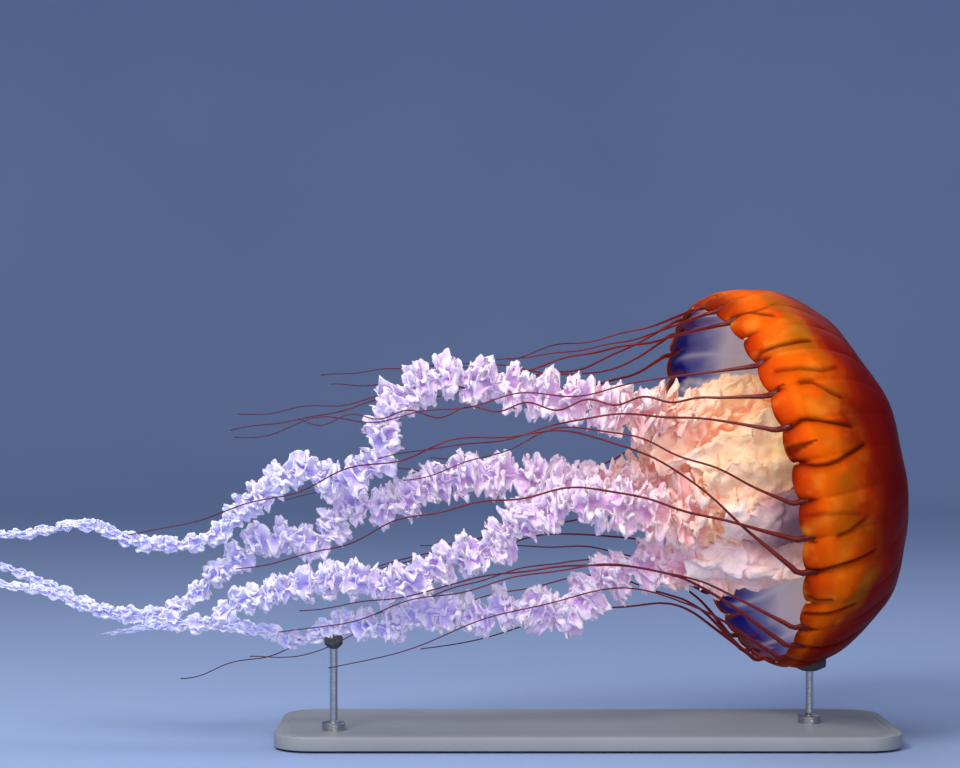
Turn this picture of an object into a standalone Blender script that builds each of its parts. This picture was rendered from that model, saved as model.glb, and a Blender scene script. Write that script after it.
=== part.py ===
"""Sea nettle jellyfish: a life-size still model, swimming level on a plain display stand.

Units are metres, +Z up. The origin is the centre of the stand's underside. The bell swims
towards +X and turns a little away towards +Y, and the arms and tentacles trail towards -X.
"""

import math

import bmesh
import bpy
from mathutils import Matrix, Vector

MM = 0.001
GAP = 0.3 * MM  # clearance between neighbouring solids

# The bell: a deep dome whose margin curls inwards and is cut into 32 lappets.
BELL_RADIUS = 0.150
BELL_HEIGHT = 0.126
WIDEST_HEIGHT = 0.020  # of the widest ring, above the margin
MARGIN_DEGREES = -20.0  # where the curled margin ends, on the profile's angle
CUT_DEGREES = 4.0  # where the margin ring is parted from the dome
DOME_FULLNESS = 0.88
RIM_THICKNESS = 1.8 * MM
CROWN_THICKNESS = 9.0 * MM
LAPPETS = 32
LAPPET_LENGTH = 9.0 * MM
LOBE_BULGE = 6.0 * MM
LOBE_FADE_DEGREES = 60.0  # the furrows between lobes end here
DOME_SIDES = 2 * LAPPETS
MARGIN_SIDES = 3 * LAPPETS

# Where the bell is held, and how it is turned.
BELL_CENTRE = Vector((0.116, 0.0, 0.1992))  # the middle of the margin's plane
HEADING = math.radians(13.4)
CLIMB = math.radians(11.2)

# The stomach and mouth tube under the dome's ceiling.
MOUTH_HEIGHT = 0.046
STOMACH_SIDES = 24

# The oral arms: a rope of frilled lips along each route, in millimetres from the origin.
ARM_LENGTHS = 3
ARM_ROOT_RADIUS = 0.020
ARM_LIPS = 4
ARM_CORE_SHARE = 0.45  # of the lips' reach, in the valleys between them
ARM_TURNS = 1.25  # how often the lips wind round the arm on its way
FRILL_SAMPLES = 4  # rings for each wave of the frill
FRILL_SWING = 0.42  # radians that a lip's edge swings to each side
FRILL_SWELL = 0.18  # of the lips' reach
ARM_ROUTES = {
    "upper": (270, ((118, 2, 240), (73, -16, 248), (10, -30, 262), (-52, -36, 272),
                    (-113, -30, 283), (-148, -28, 266), (-158, -36, 238), (-166, -44, 214),
                    (-195, -42, 203), (-224, -40, 212), (-245, -46, 196), (-264, -42, 185),
                    (-284, -38, 163), (-340, -36, 155), (-386, -42, 170), (-430, -44, 163),
                    (-496, -46, 171))),
    "far": (180, ((92, 30, 207), (28, 10, 196), (-35, 4, 203), (-90, 0, 207),
                  (-120, -6, 200), (-148, -14, 184), (-186, -14, 183), (-208, -18, 156),
                  (-247, -20, 158), (-284, -20, 132), (-315, -18, 106), (-360, -20, 98),
                  (-410, -22, 119), (-454, -24, 137), (-492, -26, 151))),
    "near": (0, ((118, -32, 188), (71, -48, 181), (9, -60, 186), (-42, -62, 180),
                 (-68, -64, 158), (-109, -64, 144), (-145, -68, 124), (-185, -66, 130),
                 (-227, -64, 123), (-262, -66, 114), (-290, -64, 97), (-334, -60, 102),
                 (-373, -58, 106), (-410, -58, 119), (-479, -62, 130))),
    "lower": (90, ((122, 4, 150), (89, -8, 137), (49, -20, 138), (12, -26, 124),
                   (-21, -34, 100), (-52, -38, 108), (-90, -38, 100), (-125, -38, 103),
                   (-155, -36, 90), (-190, -36, 94), (-221, -34, 80), (-250, -34, 88),
                   (-321, -34, 92), (-368, -38, 86))),
}
# The lips' reach from the arm's middle, and the frill's wavelength, at shares of its length.
ARM_REACH = ((0.0, 11 * MM), (0.08, 22 * MM), (0.20, 18 * MM), (0.42, 14 * MM),
             (0.64, 11 * MM), (0.75, 5.5 * MM), (0.90, 3.0 * MM), (1.0, 1.2 * MM))
FRILL_WAVELENGTH = ((0.0, 60 * MM), (0.3, 50 * MM), (0.66, 42 * MM), (1.0, 60 * MM))

# The tentacles hang from the clefts between lappets, three to each eighth of the margin.
TENTACLE_SIDES = 4
TENTACLE_ROOT_RADIUS = 1.9 * MM
TENTACLE_TIP_RADIUS = 0.6 * MM
TENTACLE_RINGS = 10  # from root to tip
TENTACLE_CROWDING = 1.35  # above 1, rings lie closer together near the root
# Cleft number, lengths, a point passed on the way and the tip, in millimetres.
TENTACLES = (
    (29, 2, (7, -88, 275), (-269, -66, 239)), (30, 2, (48, -98, 266), (-219, -84, 250)),
    (31, 2, (74, -104, 254), (-158, -92, 221)), (1, 2, (6, -108, 244), (-139, -104, 205)),
    (2, 2, (7, -104, 198), (-264, -98, 138)), (3, 2, (43, -114, 225), (-346, -90, 165)),
    (5, 2, (83, -84, 130), (-234, -80, 91)), (6, 2, (85, -66, 124), (-218, -84, 108)),
    (7, 2, (79, -46, 110), (-197, -70, 62)), (9, 2, (84, -8, 98), (-129, -12, 70)),
    (10, 2, (93, 30, 98), (-265, 20, 59)), (11, 2, (94, 52, 105), (-322, 34, 44)),
    (13, 1, (48, 74, 135), (-131, 60, 148)), (14, 1, (48, 84, 150), (-180, 67, 128)),
    (15, 1, (48, 86, 167), (-228, 60, 115)), (17, 1, (49, 88, 199), (-123, 70, 217)),
    (18, 1, (49, 88, 216), (-188, 70, 208)), (19, 1, (48, 84, 232), (-245, 60, 184)),
    (21, 2, (47, 62, 288), (-203, 50, 277)), (22, 2, (46, 52, 300), (-131, 50, 294)),
    (23, 2, (46, 34, 312), (-276, 36, 252)), (25, 2, (54, 4, 324), (-60, -10, 300)),
    (26, 2, (54, -12, 318), (-207, -6, 284)), (27, 2, (53, -30, 312), (-277, -10, 240)),
)

# The stand.
BASE_LENGTH = 0.480
BASE_WIDTH = 0.160
BASE_THICKNESS = 0.012
BASE_CORNER = 0.030
BASE_BEVEL = 1.5 * MM
ROD_RADIUS = 3.0 * MM
ROD_SINK = 6.0 * MM  # how deep a rod stands in the base
BELL_ROD_X = 0.176
ARM_ROD_POINT = (-0.195, -0.040)
PAD_RADIUS = 13.0 * MM
PAD_HEIGHT = 5.0 * MM

COLOURS = {  # colour, roughness, metallic
    "bell_jelly": ((0.80, 0.26, 0.03, 1.0), 0.35, 0.0),
    "margin_jelly": ((0.72, 0.18, 0.02, 1.0), 0.35, 0.0),
    "stomach_tissue": ((0.90, 0.66, 0.40, 1.0), 0.45, 0.0),
    "arm_frill": ((0.93, 0.85, 0.84, 1.0), 0.50, 0.0),
    "tentacle_red": ((0.30, 0.02, 0.02, 1.0), 0.40, 0.0),
    "stand_paint": ((0.60, 0.61, 0.62, 1.0), 0.45, 0.0),
    "stand_steel": ((0.62, 0.62, 0.62, 1.0), 0.28, 1.0),
}


def clear_scene():
    for obj in list(bpy.data.objects):
        bpy.data.objects.remove(obj, do_unlink=True)


def material(name):
    """The named Principled material, made on first use."""
    found = bpy.data.materials.get(name)
    if found:
        return found
    colour, roughness, metallic = COLOURS[name]
    made = bpy.data.materials.new(name)
    made.use_nodes = True
    shader = made.node_tree.nodes["Principled BSDF"]
    shader.inputs["Base Color"].default_value = colour
    shader.inputs["Roughness"].default_value = roughness
    shader.inputs["Metallic"].default_value = metallic
    return made


def add_object(name, bm, finish):
    """Turns a closed bmesh into a named object."""
    bmesh.ops.remove_doubles(bm, verts=bm.verts, dist=0.01 * MM)
    bmesh.ops.recalc_face_normals(bm, faces=bm.faces)
    mesh = bpy.data.meshes.new(name)
    bm.to_mesh(mesh)
    bm.free()
    mesh.shade_smooth()
    mesh.set_sharp_from_angle(angle=math.radians(50))
    mesh.materials.append(material(finish))
    obj = bpy.data.objects.new(name, mesh)
    bpy.context.scene.collection.objects.link(obj)
    return obj


def loft(rings, joined=False):
    """A bmesh skin over rings of points. A ring of one point is a pole. With joined, the last
    ring meets the first, as on a tyre. Without, each end ring is closed with one face."""
    bm = bmesh.new()
    rows = [[bm.verts.new(point) for point in ring] for ring in rings]
    pairs = list(zip(rows, rows[1:]))
    if joined:
        pairs.append((rows[-1], rows[0]))
    for lower, upper in pairs:
        count = max(len(lower), len(upper))
        for i in range(count):
            j = (i + 1) % count
            corners = [lower[i % len(lower)], lower[j % len(lower)],
                       upper[j % len(upper)], upper[i % len(upper)]]
            bm.faces.new(list(dict.fromkeys(corners)))
    if not joined:
        for end in (rows[0], rows[-1]):
            if len(end) > 2:
                bm.faces.new(end)
    return bm


def between(table, share):
    """Reads a table of (share, value) rows, easing from each row to the next."""
    for (low, start), (high, end) in zip(table, table[1:]):
        if share <= high:
            t = max(0.0, (share - low) / (high - low))
            return start + (end - start) * t * t * (3 - 2 * t)
    return table[-1][1]


def smooth_route(points, pieces=20):
    """Points on a smooth curve through the given ones, calm even where they are unevenly
    spaced."""
    spans = [(b - a).length for a, b in zip(points, points[1:])]
    slopes = [(b - a) / span for a, b, span in zip(points, points[1:], spans)]
    ways = [slopes[0]]
    for i in range(1, len(points) - 1):
        before, after = spans[i - 1], spans[i]
        ways.append((slopes[i - 1] * after + slopes[i] * before) / (before + after))
    ways.append(slopes[-1])
    route = []
    for a, b, way_a, way_b, span in zip(points, points[1:], ways, ways[1:], spans):
        for i in range(pieces):
            t = i / pieces
            route.append(a * (1 + 2 * t) * (1 - t) ** 2 + b * t * t * (3 - 2 * t)
                         + (way_a * t * (1 - t) ** 2 - way_b * t * t * (1 - t)) * span)
    return [*route, points[-1]]


class Route:
    """A smooth line read by distance, with a frame that is carried along it without twist."""

    def __init__(self, points, first_side):
        self.points = smooth_route(points)
        self.distances = [0.0]
        for a, b in zip(self.points, self.points[1:]):
            self.distances.append(self.distances[-1] + (b - a).length)
        self.length = self.distances[-1]
        ends = zip([self.points[0], *self.points], [*self.points[1:], self.points[-1]])
        self.tangents = [(b - a).normalized() for a, b in ends]
        self.sides = []
        side = first_side
        for tangent in self.tangents:
            side = (side - side.dot(tangent) * tangent).normalized()
            self.sides.append(side)

    def at(self, distance):
        """The point, the tangent, the side and the upward direction there."""
        distance = min(max(distance, 0.0), self.length)
        i = 1
        while i < len(self.distances) - 1 and self.distances[i] < distance:
            i += 1
        span = self.distances[i] - self.distances[i - 1]
        t = (distance - self.distances[i - 1]) / span
        point = self.points[i - 1].lerp(self.points[i], t)
        tangent = self.tangents[i - 1].lerp(self.tangents[i], t).normalized()
        side = self.sides[i - 1].lerp(self.sides[i], t)
        side = (side - side.dot(tangent) * tangent).normalized()
        return point, tangent, side, tangent.cross(side)


def bell_matrix():
    """Carries the bell's own frame, with +Z to its crown, +X to the near side of its margin
    and +Y to its lowest side, to the row's frame."""
    crown = Vector((math.cos(CLIMB) * math.cos(HEADING),
                    math.cos(CLIMB) * math.sin(HEADING), math.sin(CLIMB)))
    near = Vector((0.0, -1.0, 0.0))
    near = (near - near.dot(crown) * crown).normalized()
    turn = Matrix((near, crown.cross(near), crown)).transposed()
    return Matrix.Translation(BELL_CENTRE) @ turn.to_4x4()


BELL = bell_matrix()


def cleft_angle(number):
    """The angle round the margin of a cleft between two lappets."""
    step = 2 * math.pi / LAPPETS
    return (number - 0.5) * step


def lobe(angle):
    """0 in a cleft, 1 in the middle of a lappet."""
    return abs(math.sin((angle - cleft_angle(0)) * LAPPETS / 2))


def profile(degrees):
    """Radius and height of the plain dome, from the margin to the crown at 90 degrees."""
    turn = math.radians(degrees)
    radius = BELL_RADIUS * max(math.cos(turn), 0.0) ** DOME_FULLNESS
    if degrees >= 0:
        return radius, WIDEST_HEIGHT + (BELL_HEIGHT - WIDEST_HEIGHT) * math.sin(turn)
    curl = math.sin(turn) / math.sin(math.radians(-MARGIN_DEGREES))
    return radius, WIDEST_HEIGHT * (1 + curl)


def wall_point(degrees, angle, inner=False, grow=0.0):
    """A point on the bell's wall in its own frame, on the outer or the inner surface."""
    radius, height = profile(degrees)
    step = 0.5
    before, after = profile(degrees - step), profile(min(degrees + step, 90.0))
    along = Vector((after[0] - before[0], 0.0, after[1] - before[1])).normalized()
    outward = Vector((along.z, 0.0, -along.x))
    fade = 1.0 - max(0.0, degrees) / LOBE_FADE_DEGREES
    fade = max(0.0, fade) ** 1.4
    swell = LOBE_BULGE * fade * (lobe(angle) ** 0.7 - 0.6)
    drop = max(0.0, degrees / MARGIN_DEGREES) ** 1.5
    edge = LAPPET_LENGTH * drop * (lobe(angle) ** 0.6 - 0.5)
    share = (degrees - MARGIN_DEGREES) / (90.0 - MARGIN_DEGREES)
    wall = RIM_THICKNESS + (CROWN_THICKNESS - RIM_THICKNESS) * share ** 1.2
    depth = swell + grow - (wall if inner else 0.0)
    spot = Vector((radius, 0.0, height)) + outward * depth - along * edge
    return Vector((spot.x * math.cos(angle), spot.x * math.sin(angle), spot.z))


def wall_ring(degrees, sides, inner=False, grow=0.0):
    """A ring of the bell's wall in the row's frame, with points in the clefts."""
    start = cleft_angle(0)
    return [BELL @ wall_point(degrees, start + 2 * math.pi * i / sides, inner, grow)
            for i in range(sides)]


def steps(low, high, count):
    return [low + (high - low) * i / (count - 1) for i in range(count)]


def make_dome():
    """The bell's dome: one closed wall, thick at the crown."""
    levels = (CUT_DEGREES, 17.0, 31.0, 46.0, 61.0, 76.0)
    outer = [wall_ring(level, DOME_SIDES) for level in levels]
    inner = [wall_ring(level, DOME_SIDES, inner=True) for level in levels]
    crown, ceiling = Vector((0, 0, BELL_HEIGHT)), Vector((0, 0, BELL_HEIGHT - CROWN_THICKNESS))
    rings = [[BELL @ crown], *reversed(outer), *inner, [BELL @ ceiling]]
    add_object("bell_dome", loft(rings), "bell_jelly")


def make_margin():
    """The curled margin ring with its scalloped lappets."""
    cut = CUT_DEGREES - math.degrees(GAP / (BELL_HEIGHT - WIDEST_HEIGHT))
    levels = (cut, -8.0, MARGIN_DEGREES)
    outer = [wall_ring(level, MARGIN_SIDES) for level in levels]
    inner = [wall_ring(level, MARGIN_SIDES, inner=True) for level in levels]
    add_object("bell_margin", loft([*outer, *reversed(inner)], joined=True), "margin_jelly")


def ceiling_height(radius):
    """Height of the dome's inner surface at this distance from its axis."""
    low, high = 30.0, 90.0
    for _ in range(30):
        middle = (low + high) / 2
        if wall_point(middle, 0.0, inner=True).x > radius:
            low = middle
        else:
            high = middle
    return wall_point(low, 0.0, inner=True).z


def make_stomach():
    """The stomach with its four gonad pouches against the ceiling, and the mouth tube."""
    rows = ((0.020, None, 0.0), (0.040, None, 0.10), (0.056, None, 0.16),
            (0.057, 0.094, 0.18), (0.044, 0.084, 0.20), (0.027, 0.076, 0.12),
            (0.020, 0.064, 0.10), (0.024, 0.053, -0.14), (0.031, MOUTH_HEIGHT, -0.22))
    rings = [[BELL @ Vector((0, 0, ceiling_height(0.0) - 4 * GAP))]]
    for radius, height, pouch in rows:
        ring = []
        for i in range(STOMACH_SIDES):
            angle = 2 * math.pi * i / STOMACH_SIDES
            reach = radius * (1 - pouch * math.cos(4 * angle))
            level = ceiling_height(reach) - 4 * GAP if height is None else height
            ring.append(BELL @ Vector((reach * math.cos(angle), reach * math.sin(angle), level)))
        rings.append(ring)
    add_object("stomach", loft(rings), "stomach_tissue")


def arm_route(root_degrees, points):
    """The line of an oral arm, from its corner of the mouth to its tip."""
    turn = math.radians(root_degrees)
    outward = Vector((math.cos(turn), math.sin(turn), 0.0))
    root = outward * ARM_ROOT_RADIUS + Vector((0, 0, MOUTH_HEIGHT - GAP))
    below = root - Vector((0, 0, 12 * MM))
    start = [BELL @ root, BELL @ below]
    across = BELL.to_3x3() @ Vector((-math.sin(turn), math.cos(turn), 0.0))
    return Route(start + [Vector(p) * MM for p in points], across)


def frill_phases(route):
    """Distances along the route at which to put rings, with the frill's phase at each."""
    rings = []
    distance = phase = 0.0
    while distance < route.length:
        rings.append((distance, phase))
        step = between(FRILL_WAVELENGTH, distance / route.length) / FRILL_SAMPLES
        distance += step
        phase += 2 * math.pi / FRILL_SAMPLES
    return [*rings[:-1], (route.length, rings[-1][1])]


def frill_ring(route, distance, phase):
    """A section of an arm: a star whose tips are the lips' edges, swinging with the frill."""
    point, _, side, up = route.at(distance)
    share = distance / route.length
    reach = between(ARM_REACH, share)
    calm = min(1.0, distance / (25 * MM))  # no frill where the arm leaves the mouth
    ring = []
    for i in range(2 * ARM_LIPS):
        turn = 2 * math.pi * (ARM_TURNS * share + i / (2 * ARM_LIPS))
        wave = phase + math.pi * i / 4
        if i % 2:
            swing = math.sin(wave) * math.cos(math.pi / 4)  # a valley goes between its lips
            length = reach * ARM_CORE_SHARE
        else:
            swing = math.sin(wave)
            length = reach * (1 + FRILL_SWELL * calm * math.cos(wave * 1.5))
        turn += FRILL_SWING * calm * swing
        ring.append(point + (side * math.cos(turn) + up * math.sin(turn)) * length)
    return ring


def make_arm(name, root_degrees, points):
    """One oral arm, in lengths that meet end to end."""
    route = arm_route(root_degrees, points)
    rings = frill_phases(route)
    per_length = len(rings) / ARM_LENGTHS
    for i in range(ARM_LENGTHS):
        first, last = round(i * per_length), round((i + 1) * per_length)
        part = rings[first:last + 1]
        if i:
            part[0] = (part[0][0] + GAP, part[0][1])
        bm = loft([frill_ring(route, *ring) for ring in part])
        add_object(f"oral_arm_{name}_{i + 1}", bm, "arm_frill")


def tentacle_route(cleft, passed, tip):
    """The line of a tentacle from its cleft, under the curled margin, to its tip."""
    angle = cleft_angle(cleft)
    rim = wall_point(MARGIN_DEGREES, angle, inner=True)
    root = BELL @ (rim - Vector((0, 0, TENTACLE_ROOT_RADIUS + 3 * GAP)))
    clear = BELL @ (rim - Vector((0, 0, TENTACLE_ROOT_RADIUS + 7 * MM)))
    passed = Vector(passed) * MM
    leaning = clear + (passed - clear).normalized() * 9 * MM
    return Route([root, clear, leaning, passed, Vector(tip) * MM], Vector((0, 0, 1)))


def make_tentacle(cleft, lengths, passed, tip):
    """One tentacle: a tapering stem, in lengths that meet end to end. Rings crowd towards
    its root, where it bends most."""
    route = tentacle_route(cleft, passed, tip)
    shares = [(i / TENTACLE_RINGS) ** TENTACLE_CROWDING for i in range(TENTACLE_RINGS + 1)]
    per_length = TENTACLE_RINGS // lengths
    for i in range(lengths):
        own = shares[i * per_length:(i + 1) * per_length + 1]
        rings = []
        for share in own:
            shift = GAP if i and share == own[0] else 0.0
            point, _, side, up = route.at(route.length * share + shift)
            thin = share ** 0.6
            radius = TENTACLE_ROOT_RADIUS + (TENTACLE_TIP_RADIUS - TENTACLE_ROOT_RADIUS) * thin
            turns = [2 * math.pi * k / TENTACLE_SIDES for k in range(TENTACLE_SIDES)]
            rings.append([point + (side * math.cos(a) + up * math.sin(a)) * radius
                          for a in turns])
        name = f"tentacle_{cleft:02d}_{i + 1}" if lengths > 1 else f"tentacle_{cleft:02d}"
        add_object(name, loft(rings), "tentacle_red")


def make_base():
    """The stand's flat base, with rounded corners and sockets for the rods."""
    bm = bmesh.new()
    corners = []
    for sign_x, sign_y, start in ((1, 1, 0), (-1, 1, 90), (-1, -1, 180), (1, -1, 270)):
        centre = Vector((sign_x * (BASE_LENGTH / 2 - BASE_CORNER),
                         sign_y * (BASE_WIDTH / 2 - BASE_CORNER), 0.0))
        for degrees in steps(start, start + 90, 5):
            turn = math.radians(degrees)
            arc = Vector((math.cos(turn), math.sin(turn), 0.0)) * BASE_CORNER
            corners.append(bm.verts.new(centre + arc))
    face = bm.faces.new(corners)
    raised = bmesh.ops.extrude_face_region(bm, geom=[face])["geom"]
    top = [item for item in raised if isinstance(item, bmesh.types.BMVert)]
    bmesh.ops.translate(bm, verts=top, vec=(0, 0, BASE_THICKNESS))
    edges = [e for e in bm.edges if all(v.co.z > BASE_THICKNESS / 2 for v in e.verts)]
    bmesh.ops.bevel(bm, geom=edges, offset=BASE_BEVEL, segments=1, profile=0.5,
                    affect="EDGES", material=-1)
    base = add_object("stand_base", bm, "stand_paint")
    for name, (x, y) in (("bell", (BELL_ROD_X, 0.0)), ("arm", ARM_ROD_POINT)):
        depth = ROD_SINK + GAP
        socket = cylinder((x, y), BASE_THICKNESS - depth, BASE_THICKNESS + depth,
                          ROD_RADIUS + GAP)
        cutter = add_object(f"socket_{name}", socket, "stand_paint")
        cutter.hide_render = True
        cutter.display_type = "WIRE"
        cut = base.modifiers.new(f"socket_{name}", "BOOLEAN")
        cut.operation = "DIFFERENCE"
        cut.object = cutter


def cylinder(centre, low, high, radius, sides=16):
    """A bmesh of an upright round bar."""
    rings = []
    for level in (low, high):
        rings.append([Vector((centre[0] + radius * math.cos(2 * math.pi * i / sides),
                              centre[1] + radius * math.sin(2 * math.pi * i / sides), level))
                      for i in range(sides)])
    return loft(rings)


def bell_underside(x, y):
    """Height of the bell's outer surface straight above a point of the floor."""
    local = BELL.inverted()
    level = 0.0
    while level < 0.2:
        spot = local @ Vector((x, y, level))
        angle = math.atan2(spot.y, spot.x)
        reach = math.hypot(spot.x, spot.y)
        for degrees in steps(0.0, 40.0, 21):
            wall = wall_point(degrees, angle)
            if abs(wall.z - spot.z) < 3.2 * MM and reach < math.hypot(wall.x, wall.y):
                return level
        level += 0.5 * MM
    return level


def make_bell_rod():
    """The rod under the bell, with a pad hollowed to the bell's own curve."""
    top = bell_underside(BELL_ROD_X, 0.0) + 1.5 * MM
    centre = (BELL_ROD_X, 0.0)
    low = BASE_THICKNESS - ROD_SINK
    rings = []
    for level, radius in ((low, ROD_RADIUS), (top - PAD_HEIGHT - 3 * MM, ROD_RADIUS),
                          (top - PAD_HEIGHT, PAD_RADIUS), (top, PAD_RADIUS)):
        rings.append([Vector((centre[0] + radius * math.cos(2 * math.pi * i / 20),
                              centre[1] + radius * math.sin(2 * math.pi * i / 20), level))
                      for i in range(20)])
    rod = add_object("stand_rod_bell", loft(rings), "stand_steel")
    levels = (-19.0, -8.0, 0.0, 8.0, 20.0, 34.0)
    shell = [wall_ring(level, 2 * MARGIN_SIDES, grow=3 * GAP) for level in levels]
    cutter = add_object("bell_hollow", loft(shell), "stand_steel")
    cutter.hide_render = True
    cutter.display_type = "WIRE"
    cut = rod.modifiers.new("saddle", "BOOLEAN")
    cut.operation = "DIFFERENCE"
    cut.object = cutter


def make_arm_rod():
    """The rod under the lower arm, ending in a small round rest."""
    x, y = ARM_ROD_POINT
    route = arm_route(*ARM_ROUTES["lower"])
    lowest = min(p.z for d, phase in frill_phases(route)
                 for p in frill_ring(route, d, phase)
                 if math.hypot(p.x - x, p.y - y) < 16 * MM)
    top = lowest - GAP
    rings = []
    for level, radius in ((BASE_THICKNESS - ROD_SINK, ROD_RADIUS), (top - 5 * MM, ROD_RADIUS),
                          (top - 3 * MM, 2 * ROD_RADIUS), (top, 2 * ROD_RADIUS)):
        rings.append([Vector((x + radius * math.cos(2 * math.pi * i / 16),
                              y + radius * math.sin(2 * math.pi * i / 16), level))
                      for i in range(16)])
    add_object("stand_rod_arm", loft(rings), "stand_steel")


def main():
    clear_scene()
    make_dome()
    make_margin()
    make_stomach()
    for name, (root_degrees, points) in ARM_ROUTES.items():
        make_arm(name, root_degrees, points)
    for row in TENTACLES:
        make_tentacle(*row)
    make_base()
    make_bell_rod()
    make_arm_rod()


main()
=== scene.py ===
# %% [markdown]
# # A sea nettle on its display stand
#
# A Pacific sea nettle is a jellyfish: a bell of amber jelly, four oral arms of white frill that
# hang from its mouth, and 24 red tentacles from the bell's margin. This notebook dresses the
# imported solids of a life-size model. Seamless skins stand for the flesh solids, and turned and
# bevelled metal for the stand's.

# %% Load the solids
import functools
import math

import bmesh
import bpy
import numpy as np
from mathutils import Matrix, Vector, noise


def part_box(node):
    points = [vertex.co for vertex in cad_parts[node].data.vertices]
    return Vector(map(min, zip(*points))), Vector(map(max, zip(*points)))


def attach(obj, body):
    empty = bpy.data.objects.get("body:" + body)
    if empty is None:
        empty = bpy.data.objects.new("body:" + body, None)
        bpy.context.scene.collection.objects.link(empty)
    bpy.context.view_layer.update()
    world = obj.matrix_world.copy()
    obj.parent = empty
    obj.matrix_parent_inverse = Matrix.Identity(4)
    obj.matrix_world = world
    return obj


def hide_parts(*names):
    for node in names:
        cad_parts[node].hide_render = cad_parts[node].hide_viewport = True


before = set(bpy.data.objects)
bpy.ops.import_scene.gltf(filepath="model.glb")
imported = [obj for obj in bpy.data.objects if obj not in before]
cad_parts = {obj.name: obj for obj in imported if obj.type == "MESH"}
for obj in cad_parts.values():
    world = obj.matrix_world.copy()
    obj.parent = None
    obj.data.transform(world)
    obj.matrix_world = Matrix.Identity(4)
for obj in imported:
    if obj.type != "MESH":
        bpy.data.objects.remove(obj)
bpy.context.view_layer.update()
MM = 0.001

# %% [markdown]
# ## The camera
#
# The model hangs level, with its crown to the right. The camera looks straight along +Y with a
# long lens, as one photographs an animal behind aquarium glass, so the bell's opening shows
# only because the bell itself is turned. It comes first, since every later choice is judged
# through it.

# %% Place the camera
CAMERA_PLACE = (-0.0825, -1.885, 0.278)
camera_data = bpy.data.cameras.new("camera")
camera_data.lens = 90.0
camera_data.sensor_width = 36.0
camera = bpy.data.objects.new("camera", camera_data)
camera.location = CAMERA_PLACE
camera.rotation_euler = (math.radians(90.0), 0.0, 0.0)
bpy.context.scene.collection.objects.link(camera)
bpy.context.scene.camera = camera
print("camera at", CAMERA_PLACE)

# %% [markdown]
# ## Where the bell is
#
# The bell is turned in space, so its axis is measured on the solids. The margin repeats 32 times
# round that axis, so the axis is the direction in which the margin's points spread least. The
# crown is the dome's furthest point along it, and the margin's plane lies one bell height back.

# %% Measure the bell's own frame
BELL_RADIUS = 0.150
BELL_HEIGHT = 0.126
LAPPETS = 32


def node_points(name):
    """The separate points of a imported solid."""
    points = [vertex.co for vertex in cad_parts[name].data.vertices]
    return np.unique(np.round(np.array(points, float), 6), axis=0)


margin_points = node_points("bell_margin")
dome_points = node_points("bell_dome")
spread = margin_points - margin_points.mean(axis=0)
crown_way = np.linalg.eigh(spread.T @ spread)[1][:, 0]
crown_way *= np.sign((dome_points.mean(axis=0) - margin_points.mean(axis=0)) @ crown_way)
reach = (dome_points @ crown_way).max()
bell_centre = margin_points.mean(axis=0)
bell_centre += crown_way * (reach - BELL_HEIGHT - bell_centre @ crown_way)
near_way = np.array((0.0, -1.0, 0.0))
near_way -= near_way @ crown_way * crown_way
near_way /= np.linalg.norm(near_way)
TURN = np.array((near_way, np.cross(crown_way, near_way), crown_way))


def to_world(points):
    """Carries points from the bell's frame, +Z to its crown, to the model's frame."""
    return points @ TURN + bell_centre


print("bell centre", bell_centre.round(4), "crown way", crown_way.round(4))

# %% [markdown]
# ## Colours and shader nodes
#
# Colours are written as sRGB hex, as a painter would read them off a chart, and one function
# turns them to the linear values that shaders use. One small function adds any shader node
# with its settings and its links, so that a material reads as a list of its layers. No part of
# an animal is evenly coloured, so another function lets a value stray with a noise. The last
# makes a whole material of the kind that follows one noise, as paint and plain tissue do.

# %% Helpers for materials
def colour(code):
    """An sRGB hex colour as linear RGBA."""
    parts = [int(code[i:i + 2], 16) / 255 for i in (0, 2, 4)]
    return (*(c / 12.92 if c <= 0.04045 else ((c + 0.055) / 1.055) ** 2.4 for c in parts), 1.0)


def add_node(tree, kind, sockets=None, out=0, stops=(), **settings):
    """Adds a shader node and gives back one of its outputs. Sockets maps an input's name or
    number to a value or to another node's output, settings are the node's properties, and
    stops are the colours of a ramp, its two ends first."""
    node = tree.nodes.new("ShaderNode" + kind)
    for name, value in settings.items():
        setattr(node, name, value)
    for name, value in (sockets or {}).items():
        if isinstance(value, bpy.types.NodeSocket):
            tree.links.new(value, node.inputs[name])
        else:
            node.inputs[name].default_value = value
    for i, (place, code) in enumerate(stops):
        stop = node.color_ramp.elements[i] if i < 2 else node.color_ramp.elements.new(place)
        stop.position = place
        stop.color = colour(code)
    return node.outputs[out] if len(node.outputs) else None


def new_material(name):
    """An empty material, the node function bound to it, and the object's coordinates."""
    made = bpy.data.materials.new(name)
    made.use_nodes = True
    made.node_tree.nodes.clear()
    add = functools.partial(add_node, made.node_tree)
    return made, add, add("TexCoord", out="Object")


def stray(add, place, value, scale, detail, amount):
    """A value that strays by up to half this amount, as living colour does."""
    cloud = add("TexNoise", {"Vector": place, "Scale": scale, "Detail": detail})
    shift = add("Math", {0: cloud, 1: 0.5}, operation="SUBTRACT")
    return add("Math", {0: shift, 1: amount, 2: value}, operation="MULTIPLY_ADD")


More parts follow.
